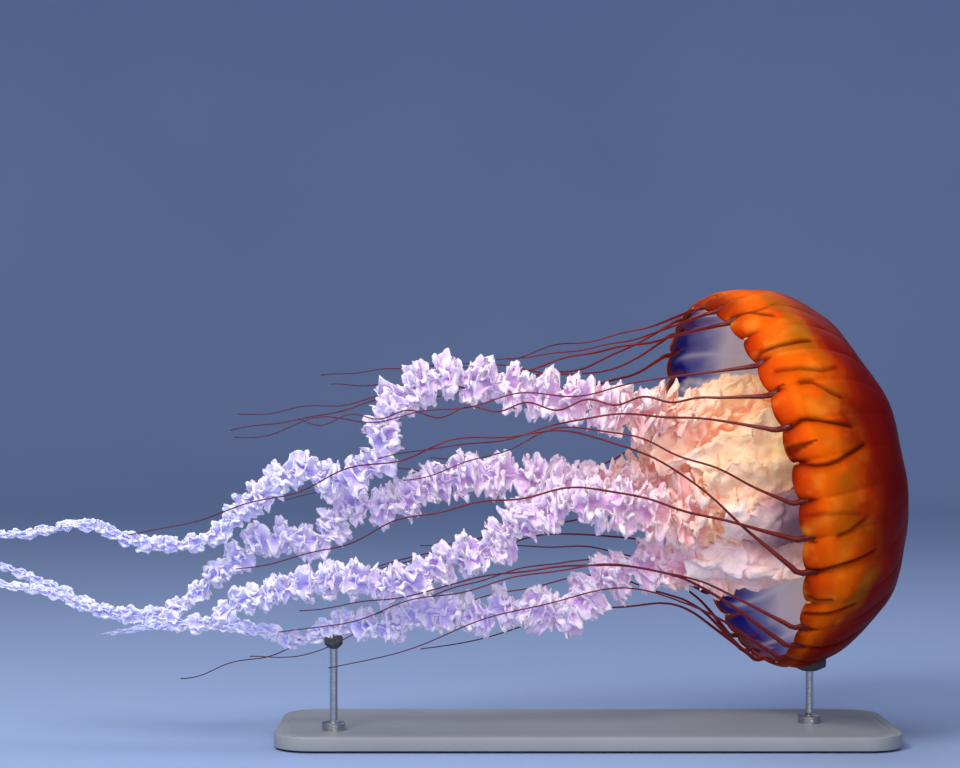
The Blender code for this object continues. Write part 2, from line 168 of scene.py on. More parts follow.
def mottled(name, grain, stops, sockets, relief=None, gloss=None, cloud=None, stretch=None):
    """A material whose colour, relief and gloss all follow one noise, or the colour its own."""
    made, add, place = new_material(name)
    if stretch:
        place = add("Mapping", {"Vector": place, "Scale": stretch})
    speckle = add("TexNoise", {"Vector": place, **grain})
    tint = add("TexNoise", {"Vector": place, **cloud}) if cloud else speckle
    sockets = {"Base Color": add("ValToRGB", {"Fac": tint}, stops=stops), **sockets}
    if relief:
        sockets["Normal"] = add("Bump", {
            "Height": speckle, "Strength": relief[0], "Distance": relief[1]})
    if gloss:
        sockets["Roughness"] = add("MapRange", {
            "Value": speckle, "From Min": 0.3, "From Max": 0.7, "To Min": gloss[0],
            "To Max": gloss[1]})
    add("OutputMaterial", {"Surface": add("BsdfPrincipled", sockets)})
    return made


print("helpers ready; pure red is", colour("FF0000"))

# %% [markdown]
# ## The bell's jelly
#
# Real bell jelly is clear, with the colour in a thin skin: amber over most of the lobes, dark
# red-brown in the furrows between them and over the crown. Light enters the jelly and comes out
# again a little way off, so the shader scatters light below its surface, red furthest. Golden
# patches of painted glow lie on the lobes, and painted shade darkens the creases, the flank under
# each fold, the rim's top and bottom and the lower side. The mesh stores where the colours go:
# the rise from margin to crown, the tone that follows it with the painted shade below, the
# furrows between lobes with their stains and the rim's painted shade, the painted shade in the
# creases, the shaded flank under each, and the lining's spokes.

# %% Bell materials
WART_SIZE = 1.3 * MM  # real warts are 0.3 mm, too fine to show


def bell_material():
    """Pigmented jelly, outer skin: amber lobes, maroon crown, dark furrows, painted glow and
    shade.
    """
    made, add, place = new_material("amber_jelly")
    tone, furrow, wrinkle, shade = (
        add("Attribute", out="Fac", attribute_name=name)
        for name in ("tone", "furrow", "wrinkle", "shade"))
    paint = add("ValToRGB", {"Fac": stray(add, place, tone, 26.0, 4.0, 0.24)}, stops=(
        (0.0, "8E2004"), (1.0, "5E0608"), (0.03, "B83606"), (0.09, "D84C06"), (0.16, "EC640A"),
        (0.24, "E65E08"), (0.30, "C04208"), (0.36, "94240A"), (0.43, "7A140A"), (0.54, "6C0C0A")))
    # Painted light: golden patches where light glows through the jelly, on the lobes below the
    # maroon.
    patch = add("TexNoise", {"Vector": place, "Scale": 48.0, "Detail": 2.0})
    gold = add("MapRange", {"Value": patch, "From Min": 0.50, "From Max": 0.72, "To Max": 0.55})
    band = add("MapRange", {"Value": tone, "From Min": 0.40, "From Max": 0.22})
    painted_glow = add("Math", {0: gold, 1: band}, operation="MULTIPLY")
    brown = add("TexNoise", {"Vector": place, "Scale": 34.0, "Detail": 3.0})
    patchy = add("MapRange", {"Value": brown, "From Min": 0.48, "From Max": 0.66, "To Max": 0.7})
    before = add("MapRange", {"Value": tone, "From Min": 0.16, "From Max": 0.27})
    after = add("MapRange", {"Value": tone, "From Min": 0.42, "From Max": 0.30})
    belt = add("Math", {0: before, 1: after}, operation="MULTIPLY")
    olive = add("Math", {0: patchy, 1: belt}, operation="MULTIPLY")
    # Painted shade: the flank under each fold and the crease itself are darkened, and the furrow
    # mask also carries the rim's painted shade.
    flank_shade = add("Math", {0: shade, 1: 0.7}, operation="MULTIPLY")
    for mask, code in ((painted_glow, "F2982A"), (olive, "8E5C0E"), (flank_shade, "9A2E04"),
                       (wrinkle, "540C04"), (furrow, "5A0A04")):
        paint = add("Mix", {"Factor": mask, 6: paint, 7: colour(code)}, 2, data_type="RGBA")
    warts = add("TexNoise", {"Vector": place, "Scale": 1 / WART_SIZE, "Detail": 1.0})
    bump = add("Bump", {"Height": warts, "Strength": 0.25, "Distance": 0.3 * MM})
    shader = add("BsdfPrincipled", {
        "Base Color": paint, "Roughness": 0.36, "IOR": 1.10, "Normal": bump,
        "Specular IOR Level": 0.15, "Subsurface Weight": 0.30,
        "Subsurface Radius": (1.0, 0.30, 0.08), "Subsurface Scale": 5 * MM})
    add("OutputMaterial", {"Surface": shader})
    return made


def lining_material():
    """The bell's inner wall: smooth clear jelly over pale muscle, brown towards the margin, with
    painted navy shade, haze and glow.
    """
    made, add, place = new_material("muscle_lining")
    rise, furrow, spoke = (add("Attribute", out="Fac", attribute_name=name)
                           for name in ("rise", "furrow", "spoke"))
    # Painted shade: the deep navy and blue band a little above the rim.
    paint = add("ValToRGB", {"Fac": stray(add, place, rise, 30.0, 3.0, 0.16)}, stops=(
        (0.0, "5E220E"), (1.0, "E6A85C"), (0.035, "2C1650"), (0.07, "0A0C76"), (0.15, "161C8C"),
        (0.24, "7C84C4"), (0.34, "E4E0F0"), (0.60, "F4E2C4"), (0.8, "F0C07A")))
    # Painted light: pale patches of light coming through the jelly.
    mist = add("TexNoise", {"Vector": place, "Scale": 17.0, "Detail": 3.0, "Distortion": 0.6})
    thin = add("MapRange", {"Value": mist, "From Min": 0.50, "From Max": 0.60, "To Max": 0.8})
    off_rim = add("MapRange", {"Value": rise, "From Min": 0.05, "From Max": 0.14})
    pale = add("Math", {0: thin, 1: off_rim}, operation="MULTIPLY")
    ribs = add("Math", {0: spoke, 1: 0.5}, operation="MULTIPLY")
    for mask, code in (pale, "F0F2FA"), (ribs, "E8ECF8"), (furrow, "7A3A24"):
        paint = add("Mix", {"Factor": mask, 6: paint, 7: colour(code)}, 2, data_type="RGBA")
    # Painted light: the lining glows faintly with its own colour, for light coming through the
    # jelly.
    shader = add("BsdfPrincipled", {
        "Base Color": paint, "Roughness": 0.36, "IOR": 1.15, "Subsurface Weight": 0.2,
        "Subsurface Radius": (1.0, 0.8, 0.7), "Subsurface Scale": 2 * MM,
        "Emission Color": paint, "Emission Strength": 0.14})
    add("OutputMaterial", {"Surface": shader})
    return made


AMBER_JELLY = bell_material()
MUSCLE_LINING = lining_material()
print("materials:", AMBER_JELLY.name, MUSCLE_LINING.name)

# %% [markdown]
# ## Turning a finished mesh into a piece
#
# Every piece is modelled where it belongs, so its object stays at the origin. It rides the
# model's one body, takes the materials that it is given and hides the solids that it stands
# for. Most soft pieces begin as flat grids, whose points are then laid out by a formula, so they
# share three helpers for that. Their crumples come from one smooth noise.

# %% Helpers for pieces
SEAM_GAP = 0.02 * MM  # points nearer than this are one point


def add_piece(name, bm, materials, replaced):
    """Makes a piece of the model from a bmesh."""
    mesh = bpy.data.meshes.new(name)
    bm.to_mesh(mesh)
    bm.free()
    mesh.shade_smooth()
    for material in materials:
        mesh.materials.append(material)
    piece = bpy.data.objects.new(name, mesh)
    bpy.context.scene.collection.objects.link(piece)
    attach(piece, "root")
    if replaced:
        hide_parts(*replaced)
    print(f"{name}: {len(mesh.vertices)} points, {len(mesh.polygons)} faces")
    return piece


def new_sheet(columns, rows, copies=1):
    """A bmesh with flat grids, two units wide, and their points as an array."""
    bm = bmesh.new()
    for _ in range(copies):
        bmesh.ops.create_grid(bm, x_segments=columns, y_segments=rows, size=1.0)
    return bm, np.array([v.co for v in bm.verts])


def lay_out(bm, points, **stored):
    """Puts a bmesh's points where an array says, and stores numbers on them by name."""
    for name, values in stored.items():
        layer = bm.verts.layers.float.new(name)
        for vertex, value in zip(bm.verts, values):
            vertex[layer] = value
    for vertex, place in zip(bm.verts, points):
        vertex.co = place


def close_seam(bm):
    """Joins the two sides of a rolled sheet."""
    bmesh.ops.remove_doubles(bm, verts=bm.verts, dist=SEAM_GAP)


def ease(values, low, high):
    """0 at low, 1 at high, with an easy start and end."""
    t = np.clip((values - low) / (high - low), 0.0, 1.0)
    return t * t * (3 - 2 * t)


# The noise starts from the clock unless it is given a seed, and each run has to be the same.
noise.seed_set(1)


def jitter(points, size, seed):
    """A smooth random vector for each point, with lumps about this size."""
    offset = Vector((seed * 17.3, seed * 5.1, seed * 9.7))
    return np.array([noise.noise_vector(Vector(p) / size + offset) for p in points])


print("the noise's first vector:", jitter([(0, 0, 0)], MM, 1)[0].round(3))

# %% [markdown]
# ## The bell
#
# The bell is a deep dome whose margin curls in and is cut into 32 lappets. It could be spun from
# a profile, but it needs hundreds of columns for its furrows, and a grid is quicker: the sheet is
# rolled round the axis, its seam and crown are merged, and each point is set on the wall by the
# same formula as the solid.

# %% Bell shape
WIDEST_HEIGHT = 0.020
MARGIN_DEGREES = -20.0
DOME_FULLNESS = 0.88
RIM_THICKNESS = 1.8 * MM
CROWN_THICKNESS = 9.0 * MM
LAPPET_LENGTH = 5.0 * MM
LOBE_BULGE = 2.2 * MM
LOBE_FADE_DEGREES = 60.0
LAPPET_STEP = 2 * math.pi / LAPPETS
WALL_DEGREES = 90.0 - MARGIN_DEGREES
WALL_LENGTH = 0.235  # from the margin to the crown, along the wall


def cleft_angle(number):
    """The angle round the margin of a cleft between two lappets."""
    return (number - 0.5) * LAPPET_STEP


def profile(degrees):
    """Radius and height of the plain dome, from the margin to the crown at 90 degrees."""
    turn = np.radians(degrees)
    radius = BELL_RADIUS * np.maximum(np.cos(turn), 0.0) ** DOME_FULLNESS
    dome = WIDEST_HEIGHT + (BELL_HEIGHT - WIDEST_HEIGHT) * np.sin(turn)
    curl = WIDEST_HEIGHT * (1 + np.sin(turn) / math.sin(math.radians(-MARGIN_DEGREES)))
    return radius, np.where(degrees >= 0, dome, curl)


def thickness(degrees):
    """How thick the wall is, from the rim to the crown."""
    share = (degrees - MARGIN_DEGREES) / WALL_DEGREES
    return RIM_THICKNESS + (CROWN_THICKNESS - RIM_THICKNESS) * share ** 1.2


def wall(degrees, angle, inner=0.0, press=0.0):
    """Points of the bell's wall in its own frame: inner is 0 outside and 1 inside, and press
    pushes a point in from there."""
    radius, height = profile(degrees)
    before, after = profile(degrees - 0.5), profile(np.minimum(degrees + 0.5, 90.0))
    along = np.stack([after[0] - before[0], after[1] - before[1]])
    along /= np.linalg.norm(along, axis=0)
    lobe = np.abs(np.sin((angle - cleft_angle(0)) * LAPPETS / 2))
    fade = np.maximum(0.0, 1.0 - np.maximum(0.0, degrees) / LOBE_FADE_DEGREES) ** 1.4
    swell = LOBE_BULGE * fade * (lobe ** 0.5 - 0.7)
    drop = np.maximum(0.0, degrees / MARGIN_DEGREES) ** 1.5
    edge = LAPPET_LENGTH * drop * (lobe ** 0.45 - 0.5)
    out = swell - press - thickness(degrees) * inner
    radius = radius + along[1] * out - along[0] * edge
    height = height - along[0] * out - along[1] * edge
    return np.stack([radius * np.cos(angle), radius * np.sin(angle), height], axis=-1)


print("the wall is", RIM_THICKNESS / MM, "to", CROWN_THICKNESS / MM, "mm thick")

# %% [markdown]
# ## Furrows and folds
#
# A swimming bell squeezes, and its skin folds. Straight furrows run up from the clefts, curved
# folds cross the lobes, each with a shaded flank on its lower side, and dark wedges of pigment
# taper up from the margin. They could be sculpted by hand. Here each is a line across the wall,
# and the distance from a point to the line tells how deep it lies, so that the same numbers
# press the mesh and darken it: painted shade in the creases and on their lower flanks, pigment
# in the wedges.

# %% Lines of the folds
FURROW_WIDTH = 1.5 * MM
FURROW_DEPTH = 1.5 * MM
FOLD_WIDTH = 1.7 * MM
FOLD_DEPTH = 2.2 * MM
# Painted shade: the flank under a fold is darkened in colour as well as pressed in.
SHADE_WIDTH = 5.5 * MM  # the soft dark flank under a fold
SHADE_DEPTH = 0.8 * MM
# Folds that cross the lobes: depth's share, then (lappets round, millimetres up) along each.
NEAR_FOLDS = (
    (0.8, ((-5.6, 8), (-5.54, 16), (-5.38, 32), (-5.13, 45), (-4.98, 54))),
    (0.9, ((-3.6, 2), (-3.77, 14), (-3.75, 32), (-3.74, 53), (-3.80, 72))),
    (0.6, ((-3.02, 21), (-2.94, 38), (-2.89, 50), (-2.82, 59), (-2.75, 69), (-2.84, 84))),
    (0.7, ((-2.55, 47), (-2.49, 57), (-2.29, 65), (-2.11, 71), (-1.97, 80))),
    (1.0, ((-1.40, 5), (-1.47, 16), (-1.56, 28), (-1.55, 40), (-1.47, 50), (-1.37, 59),
           (-1.28, 68), (-1.16, 82))),
    (1.0, ((-0.56, 3), (-0.44, 16), (-0.34, 33), (-0.31, 48), (-0.34, 58), (-0.41, 66),
           (-0.47, 74), (-0.62, 90))),
    (0.35, ((0.88, 9), (0.88, 33), (0.95, 52), (1.11, 69))),
    (0.7, ((1.54, 48), (1.50, 58), (1.40, 65), (1.28, 76))),
    (1.0, ((2.45, 3), (2.42, 14), (2.40, 27), (2.37, 43), (2.34, 53), (2.32, 67), (2.31, 84))),
    (0.8, ((3.27, 6), (3.36, 17), (3.34, 28), (3.33, 37))),
    (0.9, ((3.90, 4), (3.82, 20), (3.77, 41), (3.74, 52), (3.72, 62))),
    (0.7, ((5.40, 3), (5.30, 18), (5.36, 34), (5.20, 52))),
    (0.6, ((6.50, 3), (6.40, 22), (6.46, 40))),
    (0.5, ((-6.5, 3), (-6.42, 20), (-6.30, 44))),
)
# Dark stains that taper up from the margin: half widths in millimetres, then their line.
WEDGES = (
    (5.2, 0.8, ((-0.86, 4), (-0.96, 42))),
    (2.6, 0.6, ((-2.50, 0), (-2.62, 24))),
    (3.0, 0.8, ((1.50, 0), (1.62, 17))),
    (3.6, 0.8, ((2.50, 0), (2.44, 26))),
    (3.2, 0.8, ((4.60, 0), (4.44, 26))),
)
QUIET_CLEFTS = 5.2  # this many lappets to each side of the near one, folds replace the furrows


def fold_distance(lappets, rise_length, radius, line):
    """How far each point of the wall lies from a fold's line, and on which side of it."""
    nearest, side = np.ones(len(lappets)), np.zeros(len(lappets))
    for (start, low), (end, high) in zip(line, line[1:]):
        x, y = (lappets - start) * LAPPET_STEP * radius, rise_length - low * MM
        run, climb = (end - start) * LAPPET_STEP * radius, (high - low) * MM
        t = np.clip((x * run + y * climb) / (run ** 2 + climb ** 2 + 1e-12), 0, 1)
        gap = np.hypot(x - t * run, y - t * climb)
        closer = gap < nearest
        nearest[closer] = gap[closer]
        side[closer] = np.sign(run * y - climb * x)[closer]
    return nearest, side


def drawn_folds(draw):
    """Folds for the rest of the bell, one or two to a lobe."""
    made = []
    for lappet in range(8, 25):
        for _ in range(draw.integers(1, 3)):
            start, low = lappet - 16.5 + draw.uniform(-0.1, 0.5), draw.uniform(6, 26)
            span, climb, arch = draw.uniform(0.5, 1.1), draw.uniform(8, 34), draw.uniform(3, 9)
            line = [((start + span * t + 32) % 32 - 16, low + climb * t + arch * math.sin(3.1 * t))
                    for t in (0.0, 0.25, 0.5, 0.75, 1.0)]
            if max(x for x, _ in line) - min(x for x, _ in line) < 2:
                made.append((draw.uniform(0.4, 1.0), line))
    return made


print(len(NEAR_FOLDS), "folds and", len(WEDGES), "wedges on the near side")

# %% Make the bell
SWAY = 3.0 * MM  # how far the soft wall wanders in and out
SWAY_LUMP = 45 * MM
# Painted shade: the lower side of the bell is darker.
PAINTED_SHADE_BELOW = 0.26  # the maroon reaches nearer to the margin on the lower side
SPOKE_WIDTH = 3 * MM  # of the lining's eight pairs of ribs


def make_bell():
    """The bell's skin, outside and inside in one closed sheet."""
    outer_rows = [MARGIN_DEGREES + 45 * i / 46 for i in range(46)]
    outer_rows += [25 + 65 * (i / 30) ** 1.1 for i in range(31)]
    inner_rows = [90 - WALL_DEGREES * i / 56 for i in range(57)]
    rows = np.array(outer_rows + inner_rows)
    inside = np.array([0.0] * len(outer_rows) + [1.0] * len(inner_rows))
    columns = LAPPETS * 20
    bm, grid = new_sheet(columns, len(rows) - 1)
    angle = math.pi * (grid[:, 0] + 1) + cleft_angle(0)
    row = np.round((grid[:, 1] + 1) / 2 * (len(rows) - 1)).astype(int)
    degrees, inner = rows[row], inside[row]
    draw = np.random.default_rng(11)
    radius, height = profile(degrees)
    rise = (degrees - MARGIN_DEGREES) / WALL_DEGREES
    rise_length = rise * WALL_LENGTH
    cleft = (angle - cleft_angle(0)) / LAPPET_STEP
    number = np.round(cleft).astype(int) % LAPPETS
    wander = (draw.uniform(0.08, 0.26, LAPPETS)[number]
              * np.sin(rise_length / draw.uniform(0.012, 0.024, LAPPETS)[number] + number * 2.4))
    wander *= ease(rise_length, 0.006, 0.05)
    from_cleft = np.abs(cleft + wander - np.round(cleft + wander)) * LAPPET_STEP * radius
    reach_up = draw.uniform(0.045, 0.100, LAPPETS)[number]
    strength = draw.uniform(0.35, 1.0, LAPPETS)[number]
    lappets = (angle / LAPPET_STEP + 16) % 32 - 16
    quiet = np.where(np.abs(lappets) < QUIET_CLEFTS, 0.22, 1.0)
    fade = 1 - ease(rise_length, reach_up * 0.4, reach_up)
    line = np.exp(-(from_cleft / (FURROW_WIDTH * (0.5 + fade))) ** 2) * fade * strength * quiet
    flare = 1.5 * MM + 5.0 * MM * np.exp(-rise_length / (12 * MM))
    stain = np.exp(-(from_cleft / flare) ** 2) * (1 - ease(rise_length, 0.012, 0.034))
    furrow = np.maximum(line, stain * strength)
    # Painted shade: crease and shade darken each fold's line and the flank below it, and they also
    # press them in.
    crease, shade = np.zeros(len(angle)), np.zeros(len(angle))
    for depth, fold in (*NEAR_FOLDS, *drawn_folds(draw)):
        gap, side = fold_distance(lappets, rise_length, radius, fold)
        crease = np.maximum(crease, depth * np.exp(-(gap / FOLD_WIDTH) ** 2))
        shade = np.maximum(shade, depth * np.exp(-(gap / SHADE_WIDTH) ** 2) * (side < 0))
    for start_width, end_width, ((start, low), (end, high)) in WEDGES:
        gap, _ = fold_distance(lappets, rise_length, radius, ((start, low), (end, high)))
        t = np.clip((rise_length / MM - low) / (high - low), 0, 1)
        width = (start_width + (end_width - start_width) * t) * MM
        furrow = np.maximum(furrow, 0.85 * (1 - ease(gap, 0.5 * width, 1.15 * width)))
    # Painted shade: the rim darkens at the top and bottom of the bell, and this rides in the
    # furrow mask with the furrows and stains.
    ends = ease(np.abs(np.sin(angle)), 0.78, 1.0) * (1 - ease(rise_length, 0.010, 0.060))
    furrow = np.maximum(furrow, 0.7 * ends)
    crease, shade = crease * (1 - inner), shade * (1 - inner)
    press = (1 - inner) * (FURROW_DEPTH * line + FOLD_DEPTH * crease + SHADE_DEPTH * shade)
    press = np.minimum(press, 0.7 * thickness(degrees))  # never through the wall
    around = np.stack([np.cos(angle) * radius, np.sin(angle) * radius, height], axis=-1)
    press += jitter(around, SWAY_LUMP, 5)[:, 0] * SWAY * ease(rise_length, 0.0, 0.05)
    # Painted shade: on the lower side the tone runs on towards the maroon.
    tone = rise + PAINTED_SHADE_BELOW * ease(np.sin(angle), 0.5, 0.98) * ease(rise, 0.0, 0.12)
    spoke = np.exp(-(np.sin(8 * angle) * radius / (8 * SPOKE_WIDTH)) ** 2)
    spoke *= ease(rise, 0.04, 0.2)
    lay_out(bm, to_world(wall(degrees, angle, inner, press)), rise=rise, tone=tone,
            furrow=furrow, wrinkle=crease, shade=shade, spoke=spoke)
    for i, face in enumerate(bm.faces):
        face.material_index = int(i // columns >= len(outer_rows))
    close_seam(bm)
    rim = [e for e in bm.edges if e.is_boundary]
    bmesh.ops.bridge_loops(bm, edges=rim)
    bmesh.ops.recalc_face_normals(bm, faces=bm.faces)
    add_piece("bell_skin", bm, [AMBER_JELLY, MUSCLE_LINING],
              ["bell_dome", "bell_margin"])


make_bell()

# %% [markdown]
# ## Smooth lines for the arms and tentacles
#
# An oral arm or a tentacle is a long soft strand. It could be a curve object with a bevel, but
# the skins need their own cross-sections, so a line is sampled here instead: a smooth curve
# through given points, with a frame that is carried along it without twisting.

# %% A smooth line with a carried frame
GAP = 0.3 * MM


def unit(vectors):
    """The same directions, one long."""
    return vectors / np.linalg.norm(vectors, axis=-1, keepdims=True)


class Route:
    """A smooth line through points, read by distance."""

    def __init__(self, points, first_side, pieces=20):
        points = np.asarray(points, float)
        spans = np.linalg.norm(np.diff(points, axis=0), axis=1)[:, None]
        slopes = np.diff(points, axis=0) / spans
        ways = (slopes[:-1] * spans[1:] + slopes[1:] * spans[:-1]) / (spans[1:] + spans[:-1])
        ways = np.vstack([slopes[:1], ways, slopes[-1:]])
        t = (np.arange(pieces) / pieces)[:, None]
        runs = []
        for a, b, way_a, way_b, span in zip(points, points[1:], ways, ways[1:], spans):
            runs.append(a * (1 + 2 * t) * (1 - t) ** 2 + b * t * t * (3 - 2 * t)
                        + (way_a * t * (1 - t) ** 2 - way_b * t * t * (1 - t)) * span)
        self.points = np.vstack([*runs, points[-1:]])
        pace = np.linalg.norm(np.diff(self.points, axis=0), axis=1)
        self.distances = np.concatenate([[0.0], np.cumsum(pace)])
        self.length = self.distances[-1]
        ends = np.vstack([self.points[:1], self.points, self.points[-1:]])
        self.tangents = unit(ends[2:] - ends[:-2])
        side = np.asarray(first_side, float)
        sides = []
        for tangent in self.tangents:
            side = unit(side - side @ tangent * tangent)
            sides.append(side)
        self.sides = np.array(sides)

    def frames(self, distances):
        """Points, tangents, sides and upward directions at an array of distances."""
        found = []
        for values in (self.points, self.tangents, self.sides):
            found.append(np.stack([np.interp(distances, self.distances, values[:, axis])
                                   for axis in range(3)], axis=-1))
        points, tangents, sides = found
        tangents = unit(tangents)
        sides = unit(sides - (sides * tangents).sum(-1, keepdims=True) * tangents)
        return points, tangents, sides, np.cross(tangents, sides)


def between(table, shares):
    """Reads a table of (share, value) rows, easing from each row to the next."""
    values = np.full(np.shape(shares), float(table[-1][1]))
    for (low, start), (high, end) in reversed(list(zip(table, table[1:]))):
        values = np.where(shares <= high, start + (end - start) * ease(shares, low, high),
                          values)
    return values


print("a straight test line is", Route([(0, 0, 0), (1, 0, 0)], (0, 1, 0)).length, "m long")

# %% [markdown]
# ## The oral arms
#
# Four arms hang from the corners of the mouth. Each is a soft stem with thin lips along it, and
# every lip's edge is far longer than its root, so it crumples into frills, the frills into
# smaller frills, and those into a curly hem. Cloth simulation would take minutes to grow that.
# A lip here is a long grid, laid out from the stem like a page from its spine. Its points are
# swung by two sizes of wave, each growing towards the edge, and its hem rolls back. A wave that
# also shifts its points along the arm folds over itself, as crowded cloth does. Every few
# centimetres the lips swell into a clump and shrink to a neck, and small knobs and a crumple
# break up what is left of the waves. A second, shorter set of lips fills the gaps of the first.

# %% Arm membrane
FRILL_GRAIN = 2.2 * MM  # real stinging warts are 0.2 mm, too fine to show


def frill_material():
    """Thin moist membrane: white hems, pink and lilac in the folds partly as painted shade, cream
    near the mouth, a faint painted glow.
    """
    made, add, place = new_material("frill_membrane")
    # Painted shade in the curtain's lower hollow is stored on the mouth's curtain alone, and reads
    # as 0 elsewhere.
    along, hem, dusk = (add("Attribute", out="Fac", attribute_name=name)
                        for name in ("along", "hem", "dusk"))
    uneven = stray(add, place, along, 28.0, 2.0, 0.12)
    edge = add("ValToRGB", {"Fac": uneven}, stops=(
        (0.0, "FFC878"), (1.0, "ECEEFF"), (0.06, "FFD49C"), (0.14, "FFDCCC"),
        (0.24, "FFF0FC"), (0.5, "F8F2FF")))
    # Painted shade: the folds' ramp is the membrane darkened towards lilac and violet, partly its
    # real pink.
    fold = add("ValToRGB", {"Fac": uneven}, stops=(
        (0.0, "FFA444"), (1.0, "A8B0EE"), (0.06, "FCB070"), (0.14, "ECA8A8"),
        (0.24, "D8ACD8"), (0.45, "C2ACE8"), (0.7, "B2B2F0")))
    spot = add("TexNoise", {"Vector": place, "Scale": 120.0, "Detail": 2.0})
    deep = add("MapRange", {"Value": spot, "From Min": 0.35, "From Max": 0.65, "To Min": -0.25,
                            "To Max": 0.25})
    # Painted light and shade: hems take the lit colour, the rest the folds' painted shade.
    whiter = add("Math", {0: hem, 1: deep}, operation="ADD", use_clamp=True)
    paint = add("Mix", {"Factor": whiter, 6: fold, 7: edge}, 2, data_type="RGBA")
    # Painted shade: mauve in the curtain's lower hollow.
    paint = add("Mix", {"Factor": dusk, 6: paint, 7: colour("6E4C66")}, 2, data_type="RGBA")
    grain = add("TexNoise", {"Vector": place, "Scale": 1 / FRILL_GRAIN, "Detail": 2.0})
    bump = add("Bump", {"Height": grain, "Strength": 0.7, "Distance": 0.8 * MM})
    # Painted light: a faint glow of its own colour stands for light bounced between the folds.
    shader = add("BsdfPrincipled", {
        "Base Color": paint, "Roughness": 0.42, "IOR": 1.36, "Normal": bump,
        "Subsurface Weight": 0.3, "Subsurface Radius": (1.0, 0.85, 0.8),
        "Subsurface Scale": 1.0 * MM, "Specular IOR Level": 0.25,
        "Emission Color": paint, "Emission Strength": 0.11})
    add("OutputMaterial", {"Surface": shader})
    return made


FRILL_MEMBRANE = frill_material()
print("material:", FRILL_MEMBRANE.name)

# %% Where each arm runs, in millimetres from the origin
ARM_ROOT_RADIUS = 0.020
MOUTH_HEIGHT = 0.046
ARM_ROUTES = {
    "upper": (270, ((118, 2, 240), (73, -16, 248), (10, -30, 262), (-52, -36, 272),
                    (-113, -30, 283), (-148, -28, 266), (-158, -36, 238), (-166, -44, 214),
                    (-195, -42, 203), (-224, -40, 212), (-245, -46, 196), (-264, -42, 185),
                    (-284, -38, 163), (-340, -36, 155), (-386, -42, 170), (-430, -44, 163),
                    (-496, -46, 171))),
    "far": (180, ((92, 30, 207), (28, 10, 196), (-35, 4, 203), (-90, 0, 207),
                  (-120, -6, 200), (-148, -14, 184), (-186, -14, 183), (-208, -18, 156),
                  (-247, -20, 158), (-284, -20, 132), (-315, -18, 106), (-360, -20, 98),
                  (-410, -22, 119), (-454, -24, 137), (-492, -26, 151))),
    "near": (0, ((118, -32, 188), (71, -48, 181), (9, -60, 186), (-42, -62, 180),
                 (-68, -64, 158), (-109, -64, 144), (-145, -68, 124), (-185, -66, 130),
                 (-227, -64, 123), (-262, -66, 114), (-290, -64, 97), (-334, -60, 102),
                 (-373, -58, 106), (-410, -58, 119), (-479, -62, 130))),
    "lower": (90, ((122, 4, 150), (89, -8, 137), (49, -20, 138), (12, -26, 124),
                   (-21, -34, 100), (-52, -38, 108), (-90, -38, 100), (-125, -38, 103),
                   (-155, -36, 90), (-190, -36, 94), (-221, -34, 80), (-250, -34, 88),
                   (-321, -34, 92), (-368, -38, 86))),
}


def arm_route(root_degrees, points):
    """The line of an oral arm, from its corner of the mouth to its tip."""
    turn = math.radians(root_degrees)
    outward = np.array((math.cos(turn), math.sin(turn), 0.0))
    root = outward * ARM_ROOT_RADIUS + np.array((0, 0, MOUTH_HEIGHT - GAP))
    start = to_world(np.array((root, root - (0, 0, 12 * MM))))
    across = np.array((-math.sin(turn), math.cos(turn), 0.0)) @ TURN
    return Route(np.vstack([start, np.array(points) * MM]), across)


print("arms to run:", ", ".join(ARM_ROUTES))

# %% Frilled lips
LIPS = 4
LIP_ROWS = 8
LIP_STEP = 0.62 * MM  # from one column of a lip to the next
LIP_TURNS = 1.25  # how often the lips wind round the arm
# Tables of (share of the way down the arm, size): the lips' reach, the waves, the clumps.
LIP_REACH = ((0.0, 15 * MM), (0.05, 28 * MM), (0.12, 24 * MM), (0.22, 16 * MM),
             (0.42, 13.5 * MM), (0.62, 11 * MM), (0.74, 5.5 * MM), (0.9, 3.2 * MM),
             (1.0, 1.0 * MM))
BIG_WAVE = ((0.0, 40 * MM), (0.10, 30 * MM), (0.2, 18 * MM), (0.6, 15 * MM), (1.0, 12 * MM))
SMALL_WAVE = ((0.0, 9 * MM), (0.15, 4.4 * MM), (1.0, 3.4 * MM))
CLUMP_LENGTH = ((0.0, 36 * MM), (0.2, 27 * MM), (0.65, 21 * MM), (1.0, 12 * MM))
NECK_SHARE, CLUMP_SHARE = 0.24, 1.2  # of that reach, between two clumps and in one
HEM_ROLL = 2.35  # radians of roll from root to hem, which curls back past a quarter turn
BIG_SWING, SMALL_SWING = 0.80, 0.30  # radians to each side
LEAN, LEAN_WAVE = 4 * MM, 7 * MM  # how far the edge leans along the arm, and how often
CRUMPLE = ((7 * MM, 3.6 * MM), (3.0 * MM, 1.4 * MM))  # a lump's size, and how far it moves
KNOB_SIZE, KNOB_HEIGHT = 5 * MM, 9 * MM
INNER_SEED = 40  # between the seeds of an arm's outer and inner lips


def phase_along(distances, wavelength, draw):
    """The phase of an uneven wave at each distance, with its wavelength known at each."""
    fine = np.linspace(0.0, distances.max(), 900)
    lengths = np.interp(fine, distances[np.argsort(distances)],
                        wavelength[np.argsort(distances)])
    wobble = sum(draw.uniform(0.25, 0.5) * np.sin(fine / draw.uniform(0.012, 0.04)
                                                  + draw.uniform(0, 6.28)) for _ in range(3))
    phase = np.concatenate([[0.0], np.cumsum(2 * math.pi * np.diff(fine) / lengths[1:])])
    return np.interp(distances, fine, phase + wobble + draw.uniform(0, 6.28))


